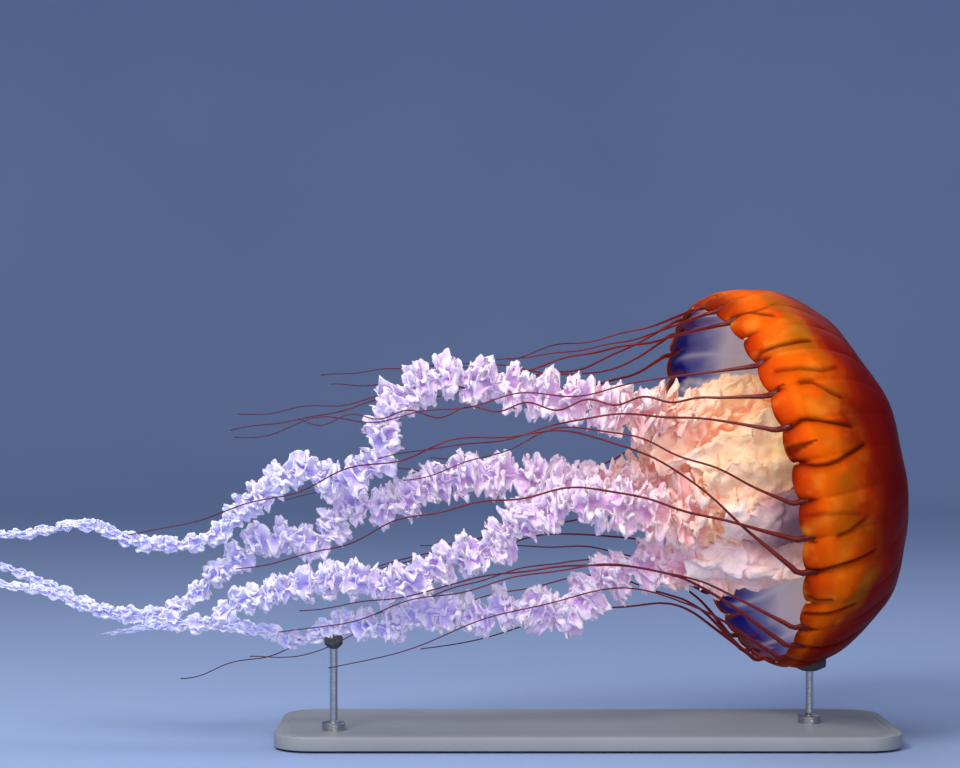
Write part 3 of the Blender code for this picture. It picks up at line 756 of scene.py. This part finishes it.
def make_lips(seed, route, first_turn, share_of_reach):
    """Four frilled lips along an arm, as one piece."""
    draw = np.random.default_rng(seed)
    bm, grid = new_sheet(int(route.length / LIP_STEP), LIP_ROWS, LIPS)
    share = (grid[:, 0] + 1) / 2
    out = ((grid[:, 1] + 1) / 2) ** 0.85
    lip = np.repeat(np.arange(LIPS), len(grid) // LIPS)
    distance = share * route.length
    reach = between(LIP_REACH, share) * share_of_reach
    calm = ease(distance, 0.0, 25 * MM)
    width, swing, shift = np.zeros_like(share), np.zeros_like(share), np.zeros_like(share)
    beat = phase_along(distance, between(CLUMP_LENGTH, share),
                       np.random.default_rng(seed % INNER_SEED))
    for i in range(LIPS):
        own = lip == i
        s, o, r = distance[own], out[own], reach[own]
        big, small = between(BIG_WAVE, share[own]), between(SMALL_WAVE, share[own])
        one, two = phase_along(s, big, draw), phase_along(s, small, draw)
        lump = ease(np.abs(np.sin(beat[own] / 2 + i * 0.10)), 0.12, 0.78)
        lump = NECK_SHARE + (CLUMP_SHARE - NECK_SHARE) * lump
        r = r * (1 + (lump - 1) * ease(share[own], 0.04, 0.16))
        fine = o * ease(share[own], 0.02, 0.2)  # broad soft folds near the mouth
        pleat = ease(o, 0.05, 0.7) * ease(share[own], 0.02, 0.2)
        leaf = BIG_SWING * o ** 0.7 * np.sin(one) + SMALL_SWING * pleat * np.sin(two)
        length = r * np.sin(HEM_ROLL * o) * (1 - 0.05 * np.cos(2 * one)
                                             - 0.07 * fine * np.cos(2 * two))
        swing[own], width[own] = length * np.sin(leaf), length * np.cos(leaf) ** 0.3
        shift[own] = -o * (0.17 * big * np.sin(2 * one) + 0.21 * small * fine * np.sin(2 * two))
        shift[own] += o * LEAN * np.sin(s / LEAN_WAVE + draw.uniform(0, 6.28))
    point, tangent, side, up = route.frames(distance)
    turn = first_turn + 2 * math.pi * (LIP_TURNS * share + lip / LIPS)
    turn = turn + 0.45 * np.sin(distance / 0.023 + lip * 1.7)
    outward = side * np.cos(turn)[:, None] + up * np.sin(turn)[:, None]
    across = up * np.cos(turn)[:, None] - side * np.sin(turn)[:, None]
    points = point + outward * width[:, None] + across * (swing * calm)[:, None]
    points += tangent * (shift * calm)[:, None]
    (lump_size, push), (fine_size, fine_push) = CRUMPLE
    crumple = jitter(points, lump_size, seed) * push
    crumple += jitter(points, fine_size, seed + 9) * fine_push * ease(share, 0.02, 0.2)[:, None]
    knob = np.abs(jitter(points, KNOB_SIZE, seed % INNER_SEED + 4)[:, 0]) - 0.15
    crumple += outward * (knob * KNOB_HEIGHT)[:, None]
    points += crumple * (calm * out * np.clip(reach / (14 * MM), 0.25, 1.0))[:, None]
    lay_out(bm, points, along=share, hem=out)
    return bm


print("each lip has", LIP_ROWS, "rows, with a column every", LIP_STEP / MM, "mm")

# %% Grow the frills
INNER_SHARE = 0.72  # how far the inner lips reach, beside the outer ones
MEMBRANE_THICKNESS = 0.45 * MM


def add_membrane(name, bm, replaced):
    """A piece of thin membrane."""
    piece = add_piece(name, bm, [FRILL_MEMBRANE], replaced)
    membrane = piece.modifiers.new("membrane", "SOLIDIFY")
    membrane.thickness = MEMBRANE_THICKNESS
    membrane.offset = 0.0


for seed, (name, (root_degrees, points)) in enumerate(ARM_ROUTES.items(), start=21):
    route = arm_route(root_degrees, points)
    outer = make_lips(seed, route, 0.0, 1.0)
    add_membrane(f"arm_{name}_outer_frills", outer, [f"oral_arm_{name}_{i}" for i in (1, 2, 3)])
    inner = make_lips(seed + INNER_SEED, route, math.pi / 4, INNER_SHARE)
    add_membrane(f"arm_{name}_inner_frills", inner, [])

# %% [markdown]
# ## The arms' stems
#
# Under its frills each arm has a firm stem of clear pinkish jelly. It hides the gaps between the
# lips' roots. A cone is cut into rings along its length and bent onto the arm's line.

# %% Stems
STEM_SHARE = 0.20  # of the lips' reach


def bent_stem(bm, route, ring_count, sides, half_widths, half_depths, drift=None):
    """Fills an empty bmesh with a tapering stem along a route. The half widths and depths are
    functions of the distance, and drift gives a sideways shift of each ring."""
    bmesh.ops.create_cone(bm, cap_ends=True, segments=sides, radius1=1.0, radius2=1.0, depth=1.0)
    long_edges = [e for e in bm.edges if abs(e.verts[0].co.z - e.verts[1].co.z) > 0.5]
    bmesh.ops.subdivide_edges(bm, edges=long_edges, cuts=ring_count)
    spots = np.array([v.co for v in bm.verts])
    distance = (spots[:, 2] + 0.5) * route.length
    point, _, side, up = route.frames(distance)
    if drift is not None:
        point = point + drift(distance, side, up)
    point = point + side * (spots[:, 0] * half_widths(distance))[:, None]
    point = point + up * (spots[:, 1] * half_depths(distance))[:, None]
    lay_out(bm, point, along=distance / route.length)
    bmesh.ops.recalc_face_normals(bm, faces=bm.faces)


def make_stem(name, root_degrees, points):
    """The stem under one arm's frills."""
    route = arm_route(root_degrees, points)
    bm = bmesh.new()

    def half(distance):
        pulse = 1 + 0.18 * np.sin(distance / 0.006) + 0.12 * np.sin(distance / 0.0037)
        return between(LIP_REACH, distance / route.length) * STEM_SHARE * pulse

    bent_stem(bm, route, 260, 12, half, half)
    add_piece(f"arm_{name}_stem", bm, [FRILL_MEMBRANE], [])


for name, (root_degrees, points) in ARM_ROUTES.items():
    make_stem(name, root_degrees, points)

# %% [markdown]
# ## The stomach and mouth
#
# Under the dome's ceiling hangs the stomach, with four crinkled pouches that hold the gonads,
# and it narrows to the mouth tube that carries the arms. It is a lathe form whose section has
# four lobes, so a grid is rolled round the axis as for the bell, and its pouches are crumpled.

# %% Stomach
# Radius, height (None follows the ceiling) and depth of the four lobes, from the top down.
STOMACH_ROWS = ((0.012, None, 0.0), (0.040, None, 0.10), (0.056, None, 0.16),
                (0.059, 0.096, 0.18), (0.052, 0.086, 0.20), (0.040, 0.078, 0.16),
                (0.030, 0.070, 0.12), (0.024, 0.062, 0.08), (0.025, 0.053, -0.14),
                (0.031, MOUTH_HEIGHT - 0.001, -0.22), (0.020, MOUTH_HEIGHT + 0.002, -0.20),
                (0.008, MOUTH_HEIGHT + 0.010, 0.0))
# Moist membrane: cream where it is thick, orange where the gonads show through.
STOMACH_MEMBRANE = mottled(
    "stomach_membrane", {"Scale": 70.0, "Detail": 4.0, "Distortion": 1.2},
    ((0.25, "B8601C"), (0.8, "FBE9C8"), (0.42, "E39A48"), (0.56, "F4C683")),
    {"Roughness": 0.38, "IOR": 1.36, "Subsurface Weight": 0.35,
     "Subsurface Radius": (1.0, 0.55, 0.30), "Subsurface Scale": 5 * MM,
     "Coat Weight": 0.3, "Coat Roughness": 0.2}, relief=(0.5, 1.0 * MM))


def make_stomach():
    """The stomach's skin, closed at the ceiling and in the mouth."""
    bm, grid = new_sheet(240, 110)
    angle = math.pi * (grid[:, 0] + 1)
    place = (grid[:, 1] + 1) / 2 * (len(STOMACH_ROWS) - 1)
    degrees = np.linspace(30.0, 90.0, 200)
    ceiling = wall(degrees, np.zeros(200), 1.0)
    radii = [row[0] for row in STOMACH_ROWS]
    steps = np.arange(len(STOMACH_ROWS))
    radius = np.interp(place, steps, radii)
    pouch = np.interp(place, steps, [row[2] for row in STOMACH_ROWS])
    folds = np.interp(place, steps, (0, 0.3, 0.8, 1, 1, 1, 0.6, 0.4, 0.4, 0.4, 0.2, 0))
    reach = radius * (1 - pouch * np.cos(4 * angle))
    below = np.interp(reach, ceiling[::-1, 0], ceiling[::-1, 2]) - 4 * GAP
    heights = [row[1] or 0.0 for row in STOMACH_ROWS]
    hung = np.interp(place, steps, heights)
    height = np.where(place <= 2, below, hung)
    fading = (place > 2) & (place < 3)
    height = np.where(fading, below + (heights[3] - below) * (place - 2), height)
    points = np.stack([reach * np.cos(angle), reach * np.sin(angle), height], axis=-1)
    crinkle = jitter(points, 9 * MM, 3) * 4 * MM + jitter(points, 4 * MM, 4) * 2 * MM
    crinkle[:, 2] = -np.abs(crinkle[:, 2])
    crinkle[grid[:, 0] > 0.999] = crinkle[grid[:, 0] < -0.999]
    points += crinkle * folds[:, None]
    lay_out(bm, to_world(points))
    close_seam(bm)
    ends = [e for e in bm.edges if e.is_boundary]
    bmesh.ops.holes_fill(bm, edges=ends)
    bmesh.ops.recalc_face_normals(bm, faces=bm.faces)
    add_piece("stomach_skin", bm, [STOMACH_MEMBRANE], ["stomach"])


make_stomach()

# %% [markdown]
# ## The mouth's curtain
#
# Round the mouth tube the four arms begin as one broad curtain of smooth cream membrane, far
# wider than the tube it hangs from, so it falls in deep pleats. A grid is rolled round the
# bell's axis, and its pleats are waves that grow towards the hem and lean over each other.

# %% Mouth's curtain
CURTAIN_ROWS = ((0.078, 0.040), (0.062, 0.060), (0.038, 0.076), (0.008, 0.076),
                (-0.024, 0.066), (-0.050, 0.056))  # height on the bell's axis, radius
PLEATS = ((5, 0.30), (8, 0.34), (13, 0.20), (21, 0.09))  # how many round, how deep
CURTAIN_CRUMPLE = ((18 * MM, 6 * MM), (6 * MM, 3.2 * MM))  # a lump's size, how far it moves
HEM_RUFFLES, HEM_RUFFLE_HEIGHT = 46, 3.0 * MM


def make_curtain(name, seed, columns, rows, share_of_radius, share_of_length):
    """One layer of the pleated curtain."""
    draw = np.random.default_rng(seed)
    bm, grid = new_sheet(columns, rows)
    angle, share = math.pi * (grid[:, 0] + 1), (grid[:, 1] + 1) / 2
    hang = 1 + sum(draw.uniform(0.03, 0.08) * np.sin(n * angle + draw.uniform(0, 6.28))
                   for n in (3, 4, 7, 11))
    depth = share * share_of_length * hang
    place = depth * (len(CURTAIN_ROWS) - 1)
    steps = np.arange(len(CURTAIN_ROWS))
    height = np.interp(place, steps, [row[0] for row in CURTAIN_ROWS])
    radius = np.interp(place, steps, [row[1] for row in CURTAIN_ROWS]) * share_of_radius
    height -= np.maximum(place - len(CURTAIN_ROWS) + 1, 0) * 20 * MM
    pleats, lean = np.zeros_like(angle), np.zeros_like(angle)
    for count, size in PLEATS:
        turn = draw.uniform(0, 6.28) + draw.uniform(-1.8, 1.8) * share
        pleats += size * np.sin(count * angle + turn)
        lean += size / count * np.sin(2 * (count * angle + turn)) * 1.6
    grow = 0.10 + 0.30 * ease(share, 0.0, 0.75)
    ruffle = ease(share, 0.72, 1.0)
    radius = radius * (1 + grow * pleats)
    radius += HEM_RUFFLE_HEIGHT * ruffle * np.sin(HEM_RUFFLES * angle + 3 * np.sin(5 * angle))
    spun = angle - lean * ease(share, 0.0, 0.6)
    points = np.stack([0.82 * radius * np.cos(spun), radius * np.sin(spun), height], axis=-1)
    (lump_size, push), (fine_size, fine_push) = CURTAIN_CRUMPLE
    crumple = jitter(points, lump_size, seed) * push
    crumple += jitter(points, fine_size, seed + 3) * fine_push
    crumple += jitter(points, 2.8 * MM, seed + 5) * (0.8 * MM + 0.8 * MM * ruffle)[:, None]
    points += crumple
    points[grid[:, 0] > 0.999] = points[grid[:, 0] < -0.999]
    # Painted light and shade: pleat crests take the lit hem colour, troughs the folds' painted
    # shade.
    ridge = np.clip(0.62 + 0.42 * pleats + 0.3 * ruffle, 0, 1)
    along = 0.015 + 0.11 * share + 0.07 * ease(np.sin(angle), -0.1, 0.9)
    low = np.sin(angle)
    # Painted shade in the hollow between the arms on the curtain's lower side.
    dusk = 0.9 * ease(low, 0.0, 0.35) * (1 - ease(low, 0.62, 0.85))
    dusk *= 1 - ease(share, 0.6, 0.95)
    lay_out(bm, to_world(points), along=along, hem=ridge, dusk=dusk)
    close_seam(bm)
    bmesh.ops.recalc_face_normals(bm, faces=bm.faces)
    add_membrane(name, bm, [])


make_curtain("mouth_curtain_outer", 71, 520, 80, 1.0, 0.95)
make_curtain("mouth_curtain_inner", 72, 400, 60, 0.74, 1.05)

# %% [markdown]
# ## The tentacles
#
# Twenty-four tentacles hang from clefts of the margin, three to each eighth. Each begins as a
# flat dark red blade that grows out of its furrow, narrows within a few centimetres to a round
# thread, and trails off in slack waves. The same bent stem as before makes them, with a blade's
# width at its root.

# %% Tentacles
TENTACLE_ROOT_RADIUS = 1.9 * MM
TENTACLE_WARTS = MM / 0.9  # real stinging warts are 0.2 mm, too fine to show
BLADE_HALVES = (2.8 * MM, 1.9 * MM)  # half width and half depth of the blade at the root
THREAD_HALVES = (1.0 * MM, 0.95 * MM)
TIP_HALF = 0.4 * MM
# For each: its cleft, its lengths of solid, and two points in millimetres on its way.
TENTACLES = (
    (29, 2, (7, -88, 275), (-269, -66, 239)), (30, 2, (48, -98, 266), (-219, -84, 250)),
    (31, 2, (74, -104, 254), (-158, -92, 221)), (1, 2, (6, -108, 244), (-139, -104, 205)),
    (2, 2, (7, -104, 198), (-264, -98, 138)), (3, 2, (43, -114, 225), (-346, -90, 165)),
    (5, 2, (83, -84, 130), (-234, -80, 91)), (6, 2, (85, -66, 124), (-218, -84, 108)),
    (7, 2, (79, -46, 110), (-197, -70, 62)), (9, 2, (84, -8, 98), (-129, -12, 70)),
    (10, 2, (93, 30, 98), (-265, 20, 59)), (11, 2, (94, 52, 105), (-322, 34, 44)),
    (13, 1, (48, 74, 135), (-131, 60, 148)), (14, 1, (48, 84, 150), (-180, 67, 128)),
    (15, 1, (48, 86, 167), (-228, 60, 115)), (17, 1, (49, 88, 199), (-123, 70, 217)),
    (18, 1, (49, 88, 216), (-188, 70, 208)), (19, 1, (48, 84, 232), (-245, 60, 184)),
    (21, 2, (47, 62, 288), (-203, 50, 277)), (22, 2, (46, 52, 300), (-131, 50, 294)),
    (23, 2, (46, 34, 312), (-276, 36, 252)), (25, 2, (54, 4, 324), (-60, -10, 300)),
    (26, 2, (54, -12, 318), (-207, -6, 284)), (27, 2, (53, -30, 312), (-277, -10, 240)),
)


def tentacle_material():
    """Stretchy muscular thread, dark red at the root and thin and purplish at the tip."""
    made, add, place = new_material("tentacle_muscle")
    along = add("Attribute", out="Fac", attribute_name="along")
    paint = add("ValToRGB", {"Fac": stray(add, place, along, 90.0, 2.0, 0.2)}, stops=(
        (0.0, "5A0A04"), (1.0, "4A1434"), (0.08, "6E0E08"), (0.25, "660C12"),
        (0.5, "74121E"), (0.75, "5C122A")))
    warts = add("TexNoise", {"Vector": place, "Scale": 1 / TENTACLE_WARTS, "Detail": 1.0})
    bump = add("Bump", {"Height": warts, "Strength": 0.4, "Distance": 0.3 * MM})
    shader = add("BsdfPrincipled", {
        "Base Color": paint, "Roughness": 0.35, "IOR": 1.36, "Normal": bump,
        "Subsurface Weight": 0.2, "Subsurface Radius": (1.0, 0.2, 0.2),
        "Subsurface Scale": 1.5 * MM, "Specular IOR Level": 0.35,
        "Coat Weight": 0.12, "Coat Roughness": 0.2})
    add("OutputMaterial", {"Surface": shader})
    return made


TENTACLE_MUSCLE = tentacle_material()


def make_tentacle_skin(cleft, lengths, passed, tip):
    """One tentacle, from inside its cleft to its tip."""
    draw = np.random.default_rng(100 + cleft)
    angle = cleft_angle(cleft)
    turn = np.array([angle])
    inside = wall(np.array([MARGIN_DEGREES + 5.0]), turn, 0.6)[0]
    rim = wall(np.array([MARGIN_DEGREES]), turn, 1.0)[0]
    root, clear, inside = to_world(np.array((
        rim - (0, 0, TENTACLE_ROOT_RADIUS + 3 * GAP),
        rim - (0, 0, TENTACLE_ROOT_RADIUS + 7 * MM), inside)))
    passed, tip = np.array(passed) * MM, np.array(tip) * MM
    leaning = clear + unit(passed - clear) * 9 * MM
    across = np.array((-math.sin(angle), math.cos(angle), 0.0)) @ TURN
    route = Route([inside, root, clear, leaning, passed, tip], across)
    waves = [(draw.uniform(0.007, 0.024), draw.uniform(0, 6.28), draw.uniform(0.5, 2.2) * MM)
             for _ in range(4)]
    build = draw.uniform(0.7, 1.15)
    blade_length = (draw.uniform(20, 34) + 30 * max(0.0, math.sin(angle)) ** 2) * MM

    def drift(distance, side, up):
        grow = ease(distance, 0.03, 0.12)
        rise = sum(h * np.sin(distance / w + p) for w, p, h in waves[:2]) * grow
        sway = sum(h * np.sin(distance / w + p) for w, p, h in waves[2:]) * grow
        return side * sway[:, None] + up * rise[:, None]

    def taper(root_half, thread_half):
        thread_half *= build

        def half(distance):
            share = distance / route.length
            blade = np.exp(-(distance / blade_length) ** 1.4)
            thread = thread_half + (TIP_HALF - thread_half) * share
            return thread * (1 - blade) + root_half * blade
        return half

    bm = bmesh.new()
    halves = [taper(*sizes) for sizes in zip(BLADE_HALVES, THREAD_HALVES)]
    bent_stem(bm, route, 100, 10, *halves, drift)
    stem = f"tentacle_{cleft:02d}"
    replaced = [stem] if lengths == 1 else [f"{stem}_{i}" for i in (1, 2)]
    add_piece(f"{stem}_skin", bm, [TENTACLE_MUSCLE], replaced)


for row in TENTACLES:
    make_tentacle_skin(*row)

# %% [markdown]
# ## The sense organs
#
# Eight of the clefts hold no tentacle but a sense organ, a cream bead on a short stalk that
# feels light and balance. Small spheres, drawn out to drops, are joined in one piece.

# %% Sense organs
SENSE_RADIUS = 1.5 * MM
# Firm opaque tissue with a little chalky crystal in it.
SENSE_ORGAN_TISSUE = mottled(
    "sense_organ_tissue", {"Scale": 700.0, "Detail": 2.0}, ((0.35, "B06A24"), (0.65, "DCA25C")),
    {"Roughness": 0.35, "IOR": 1.4, "Subsurface Weight": 0.2, "Subsurface Scale": 1.0 * MM,
     "Coat Weight": 0.2})

bm = bmesh.new()
for cleft in range(0, LAPPETS, 4):
    turn = np.array([cleft_angle(cleft)])
    seat = wall(np.array([MARGIN_DEGREES + 1.0]), turn, 0.5)
    spot = Vector(to_world(seat)[0]) - Vector(crown_way) * 1.2 * MM
    ball = bmesh.ops.create_uvsphere(bm, u_segments=16, v_segments=10, radius=SENSE_RADIUS)
    stretch = Matrix.Diagonal((1.0, 0.8, 1.7, 1.0))
    lean = Vector(crown_way).to_track_quat("Z", "Y").to_matrix().to_4x4()
    bmesh.ops.transform(bm, verts=ball["verts"],
                        matrix=Matrix.Translation(spot) @ lean @ stretch)
add_piece("sense_organs", bm, [SENSE_ORGAN_TISSUE], [])

# %% [markdown]
# ## The stand's base
#
# A life-size model needs holding up. Its base is a plate of aluminium, milled with rounded
# corners and a fine border groove and then powder-coated, on four rubber feet. A cube is scaled
# to size, its corners and edges are bevelled, and its top face is inset twice for the groove.

# %% Stand materials
COAT_PEBBLE = 0.8 * MM  # powder coat's orange peel
BRUSH_LINES = (60.0, 60.0, 2500.0)  # to the metre: the strokes go round the rod, 0.4 mm apart
# Powder coat: paint baked from a powder, satin, with a fine orange-peel texture.
POWDER_COAT = mottled(
    "powder_coat", {"Scale": 1 / COAT_PEBBLE, "Detail": 2.0},
    ((0.3, "8E9298"), (0.7, "989CA2")), {}, relief=(0.3, 0.15 * MM), gloss=(0.40, 0.52),
    cloud={"Scale": 9.0, "Detail": 3.0})
# Stainless steel bar, brushed round its length, so that its gloss is streaky.
BRUSHED_STEEL = mottled(
    "brushed_stainless", {"Scale": 1.0, "Detail": 3.0}, ((0.3, "A4A6A8"), (0.7, "C6C8CA")),
    {"Metallic": 1.0}, relief=(0.25, 0.05 * MM), gloss=(0.24, 0.40), stretch=BRUSH_LINES)
# Soft moulded silicone rubber, matt and slightly dusty.
RUBBER = mottled(
    "silicone_rubber", {"Scale": 260.0, "Detail": 4.0}, ((0.35, "34363A"), (0.7, "4C4F54")),
    {"Roughness": 0.62, "IOR": 1.43}, relief=(0.2, 0.1 * MM))
print("stand materials:", POWDER_COAT.name, BRUSHED_STEEL.name, RUBBER.name)

# %% Base plate
FOOT_HEIGHT = 1.5 * MM
CORNER_RADIUS, EDGE_RADIUS = 30 * MM, 1.2 * MM
BORDER, GROOVE_WIDTH, GROOVE_DEPTH = 7 * MM, 1.0 * MM, 0.7 * MM
base_low, base_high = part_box("stand_base")
bm = bmesh.new()
bmesh.ops.create_cube(bm, size=1.0)
bmesh.ops.scale(bm, verts=bm.verts, vec=base_high - base_low - Vector((0, 0, FOOT_HEIGHT)))
middle = (base_low + base_high) / 2 + Vector((0, 0, FOOT_HEIGHT / 2))
bmesh.ops.translate(bm, verts=bm.verts, vec=middle)
corners = [e for e in bm.edges if abs(e.verts[0].co.z - e.verts[1].co.z) > 1 * MM]
bmesh.ops.bevel(bm, geom=corners, offset=CORNER_RADIUS, segments=12, profile=0.5, affect="EDGES",
                material=-1)
top = max(bm.faces, key=lambda f: f.calc_center_median().z)
for inset, drop in ((BORDER, 0.0), (GROOVE_WIDTH / 2, -GROOVE_DEPTH),
                    (GROOVE_WIDTH / 2, GROOVE_DEPTH)):
    bmesh.ops.inset_region(bm, faces=[top], thickness=inset, depth=drop, use_even_offset=True)
rims = [e for e in bm.edges if len(e.link_faces) == 2 and e.calc_face_angle() > 1.2]
bmesh.ops.bevel(bm, geom=rims, offset=EDGE_RADIUS, segments=3, profile=0.5, affect="EDGES",
                material=-1, clamp_overlap=True)
bmesh.ops.recalc_face_normals(bm, faces=bm.faces)
plate = add_piece("stand_plate", bm, [POWDER_COAT], ["stand_base"])
plate.data.set_sharp_from_angle(angle=math.radians(40))

bm = bmesh.new()
for x in (-0.2, 0.2):
    for y in (-0.05, 0.05):
        foot = bmesh.ops.create_cone(bm, cap_ends=True, segments=32, radius1=9 * MM,
                                     radius2=10 * MM, depth=2 * MM)
        bmesh.ops.translate(bm, verts=foot["verts"], vec=(x, y, 1 * MM))
add_piece("stand_feet", bm, [RUBBER], [])

# %% [markdown]
# ## The rods
#
# Two stainless rods carry the model, one under the bell and one under the lowest arm. Each
# stands in a turned collar with a set screw and ends in a silicone cup. All are lathe forms, so
# half-profiles are spun about their axes. The bell's cup is then pressed up against the bell:
# every point of its top rises along a ray to the jelly.

# %% Rods, collars and cups
from mathutils.bvhtree import BVHTree


def turn_on_lathe(bm, centre, rows, segments=48):
    """Spins a half-profile of (radius, height) rows about an upright axis."""
    verts = [bm.verts.new((centre[0] + radius, centre[1], height)) for radius, height in rows]
    edges = [bm.edges.new(pair) for pair in zip(verts, verts[1:])]
    bmesh.ops.spin(bm, geom=verts + edges, cent=(centre[0], centre[1], 0), axis=(0, 0, 1),
                   angle=2 * math.pi, steps=segments, use_merge=True)
    bmesh.ops.remove_doubles(bm, verts=bm.verts, dist=0.01 * MM)


ROD_RADIUS, COLLAR_RADIUS = 3 * MM, 9 * MM
COLLAR = ((0, 0), (8.6, 0), (9, 0.6), (9, 6.2), (8.2, 7), (4.2, 7.4), (3, 8.4))  # millimetres


def rod_piece(name, node, centre, top):
    """A rod with its collar and set screw."""
    floor = base_high.z - 0.8 * MM
    bm = bmesh.new()
    rows = [(radius * MM, floor + height * MM) for radius, height in COLLAR]
    rows += [(ROD_RADIUS, top - 0.6 * MM), (ROD_RADIUS - 0.6 * MM, top), (0, top)]
    turn_on_lathe(bm, centre, rows)
    screw = bmesh.ops.create_cone(bm, cap_ends=True, segments=24, radius1=1.8 * MM,
                                  radius2=1.8 * MM, depth=1.6 * MM)["verts"]
    face = max({f for v in screw for f in v.link_faces}, key=lambda f: f.calc_center_median().z)
    bmesh.ops.inset_region(bm, faces=[face], thickness=0.7 * MM, depth=0.0)
    bmesh.ops.translate(bm, verts=face.verts, vec=(0, 0, -0.8 * MM))
    whole = list({v for v in bm.verts if v.co.z < floor - 2 * MM})
    turn = Matrix.Translation((centre[0], centre[1] - COLLAR_RADIUS, floor + 3.4 * MM))
    turn = turn @ Matrix.Rotation(math.radians(90), 4, "X")
    bmesh.ops.transform(bm, verts=whole, matrix=turn)
    bmesh.ops.recalc_face_normals(bm, faces=bm.faces)
    rod = add_piece(name, bm, [BRUSHED_STEEL], [node])
    rod.data.set_sharp_from_angle(angle=math.radians(30))


def cup_piece(name, centre, radius, low, high, above):
    """A silicone cup whose top follows what lies above it."""
    bm = bmesh.new()
    rows = [(0, low), (radius * 0.45, low), (radius * 0.55, low + 0.5 * MM),
            (radius * 0.95, high - 2.5 * MM), (radius, high - 1.5 * MM), (radius, high)]
    rows += [(radius * (1 - i / 8), high + 0.1 * MM) for i in range(9)]
    turn_on_lathe(bm, centre, rows)
    for vertex in bm.verts:
        if vertex.co.z < high - 0.05 * MM:
            continue
        hit = above.ray_cast(Vector((vertex.co.x, vertex.co.y, 0.02)), Vector((0, 0, 1)))[0]
        if hit:
            vertex.co.z = min(max(hit.z + 0.2 * MM, high - 3 * MM), high + 5 * MM)
    bmesh.ops.recalc_face_normals(bm, faces=bm.faces)
    add_piece(name, bm, [RUBBER], [])


def skin_tree(*names):
    """A search tree over the faces of some pieces."""
    points, faces = [], []
    for name in names:
        mesh = bpy.data.objects[name].data
        first = len(points)
        points += [v.co.copy() for v in mesh.vertices]
        faces += [[first + i for i in polygon.vertices] for polygon in mesh.polygons]
    return BVHTree.FromPolygons(points, faces)


for name, node, radius, above in (
        ("bell", "stand_rod_bell", 13 * MM, skin_tree("bell_skin")),
        ("arm", "stand_rod_arm", 7 * MM, skin_tree("arm_lower_outer_frills"))):
    low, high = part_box(node)
    centre = ((low.x + high.x) / 2, (low.y + high.y) / 2)
    rod_piece(f"stand_{name}_rod", node, centre, high.z - 5 * MM)
    cup_piece(f"stand_{name}_cup", centre, radius, high.z - 6.5 * MM, high.z - 1 * MM, above)

# %% [markdown]
# ## The studio
#
# The floor is a wide shallow bowl of pale blue-grey paper, so that from any side the model
# stands before a seamless ground. Four large soft lamps light it: a key from the upper left, a
# fill from the front, one above, and a faint one from behind for the edges of the thin jelly.

# %% Floor and lamps
# Matt studio paper, with faint cloudiness.
STUDIO_PAPER = mottled(
    "studio_paper", {"Scale": 1.2, "Detail": 2.0}, ((0.3, "92A8D2"), (0.7, "98ADD5")),
    {"Roughness": 0.9, "Specular IOR Level": 0.1})
FLAT_RADIUS, CURVE_RADIUS, WALL_TOP = 3.4, 1.6, 4.5  # of the bowl, in metres
bm = bmesh.new()
bowl = [(0.0, 0.0), (FLAT_RADIUS, 0.0)]
bowl += [(FLAT_RADIUS + CURVE_RADIUS * math.sin(math.radians(a)),
          CURVE_RADIUS - CURVE_RADIUS * math.cos(math.radians(a))) for a in range(6, 91, 6)]
bowl.append((FLAT_RADIUS + CURVE_RADIUS, WALL_TOP))
turn_on_lathe(bm, (0.0, 0.0), [(r, z - 0.2 * MM) for r, z in bowl], segments=96)
mesh = bpy.data.meshes.new("floor")
bm.to_mesh(mesh)
bm.free()
mesh.shade_smooth()
mesh.materials.append(STUDIO_PAPER)
floor = bpy.data.objects.new("floor", mesh)
bpy.context.scene.collection.objects.link(floor)


def add_lamp(name, place, size, watts, tint):
    """A square soft lamp aimed at the model."""
    data = bpy.data.lights.new(name, "AREA")
    data.size = size
    data.energy = watts
    data.color = colour(tint)[:3]
    lamp = bpy.data.objects.new(name, data)
    lamp.location = place
    aim = Vector((-0.02, 0.0, 0.2)) - Vector(place)
    lamp.rotation_euler = aim.to_track_quat("-Z", "Y").to_euler()
    bpy.context.scene.collection.objects.link(lamp)
    print(f"{name} lamp: {watts} W from {place}")


add_lamp("key", (-0.9, -1.4, 1.6), 0.8, 34.0, "FFFBF4")
add_lamp("fill", (0.3, -2.4, 0.9), 1.2, 21.0, "FFF6EC")
add_lamp("back", (0.8, 1.5, 1.3), 0.8, 2.0, "FFF6EE")
add_lamp("top", (-0.2, 0.1, 1.9), 1.0, 9.0, "F4F8FF")
world = bpy.data.worlds.new("studio_air")
world.use_nodes = True
air = world.node_tree.nodes["Background"]
air.inputs["Color"].default_value = colour("E6E6EC")
air.inputs["Strength"].default_value = 0.5
bpy.context.scene.world = world
bpy.context.scene.view_settings.view_transform = "Standard"
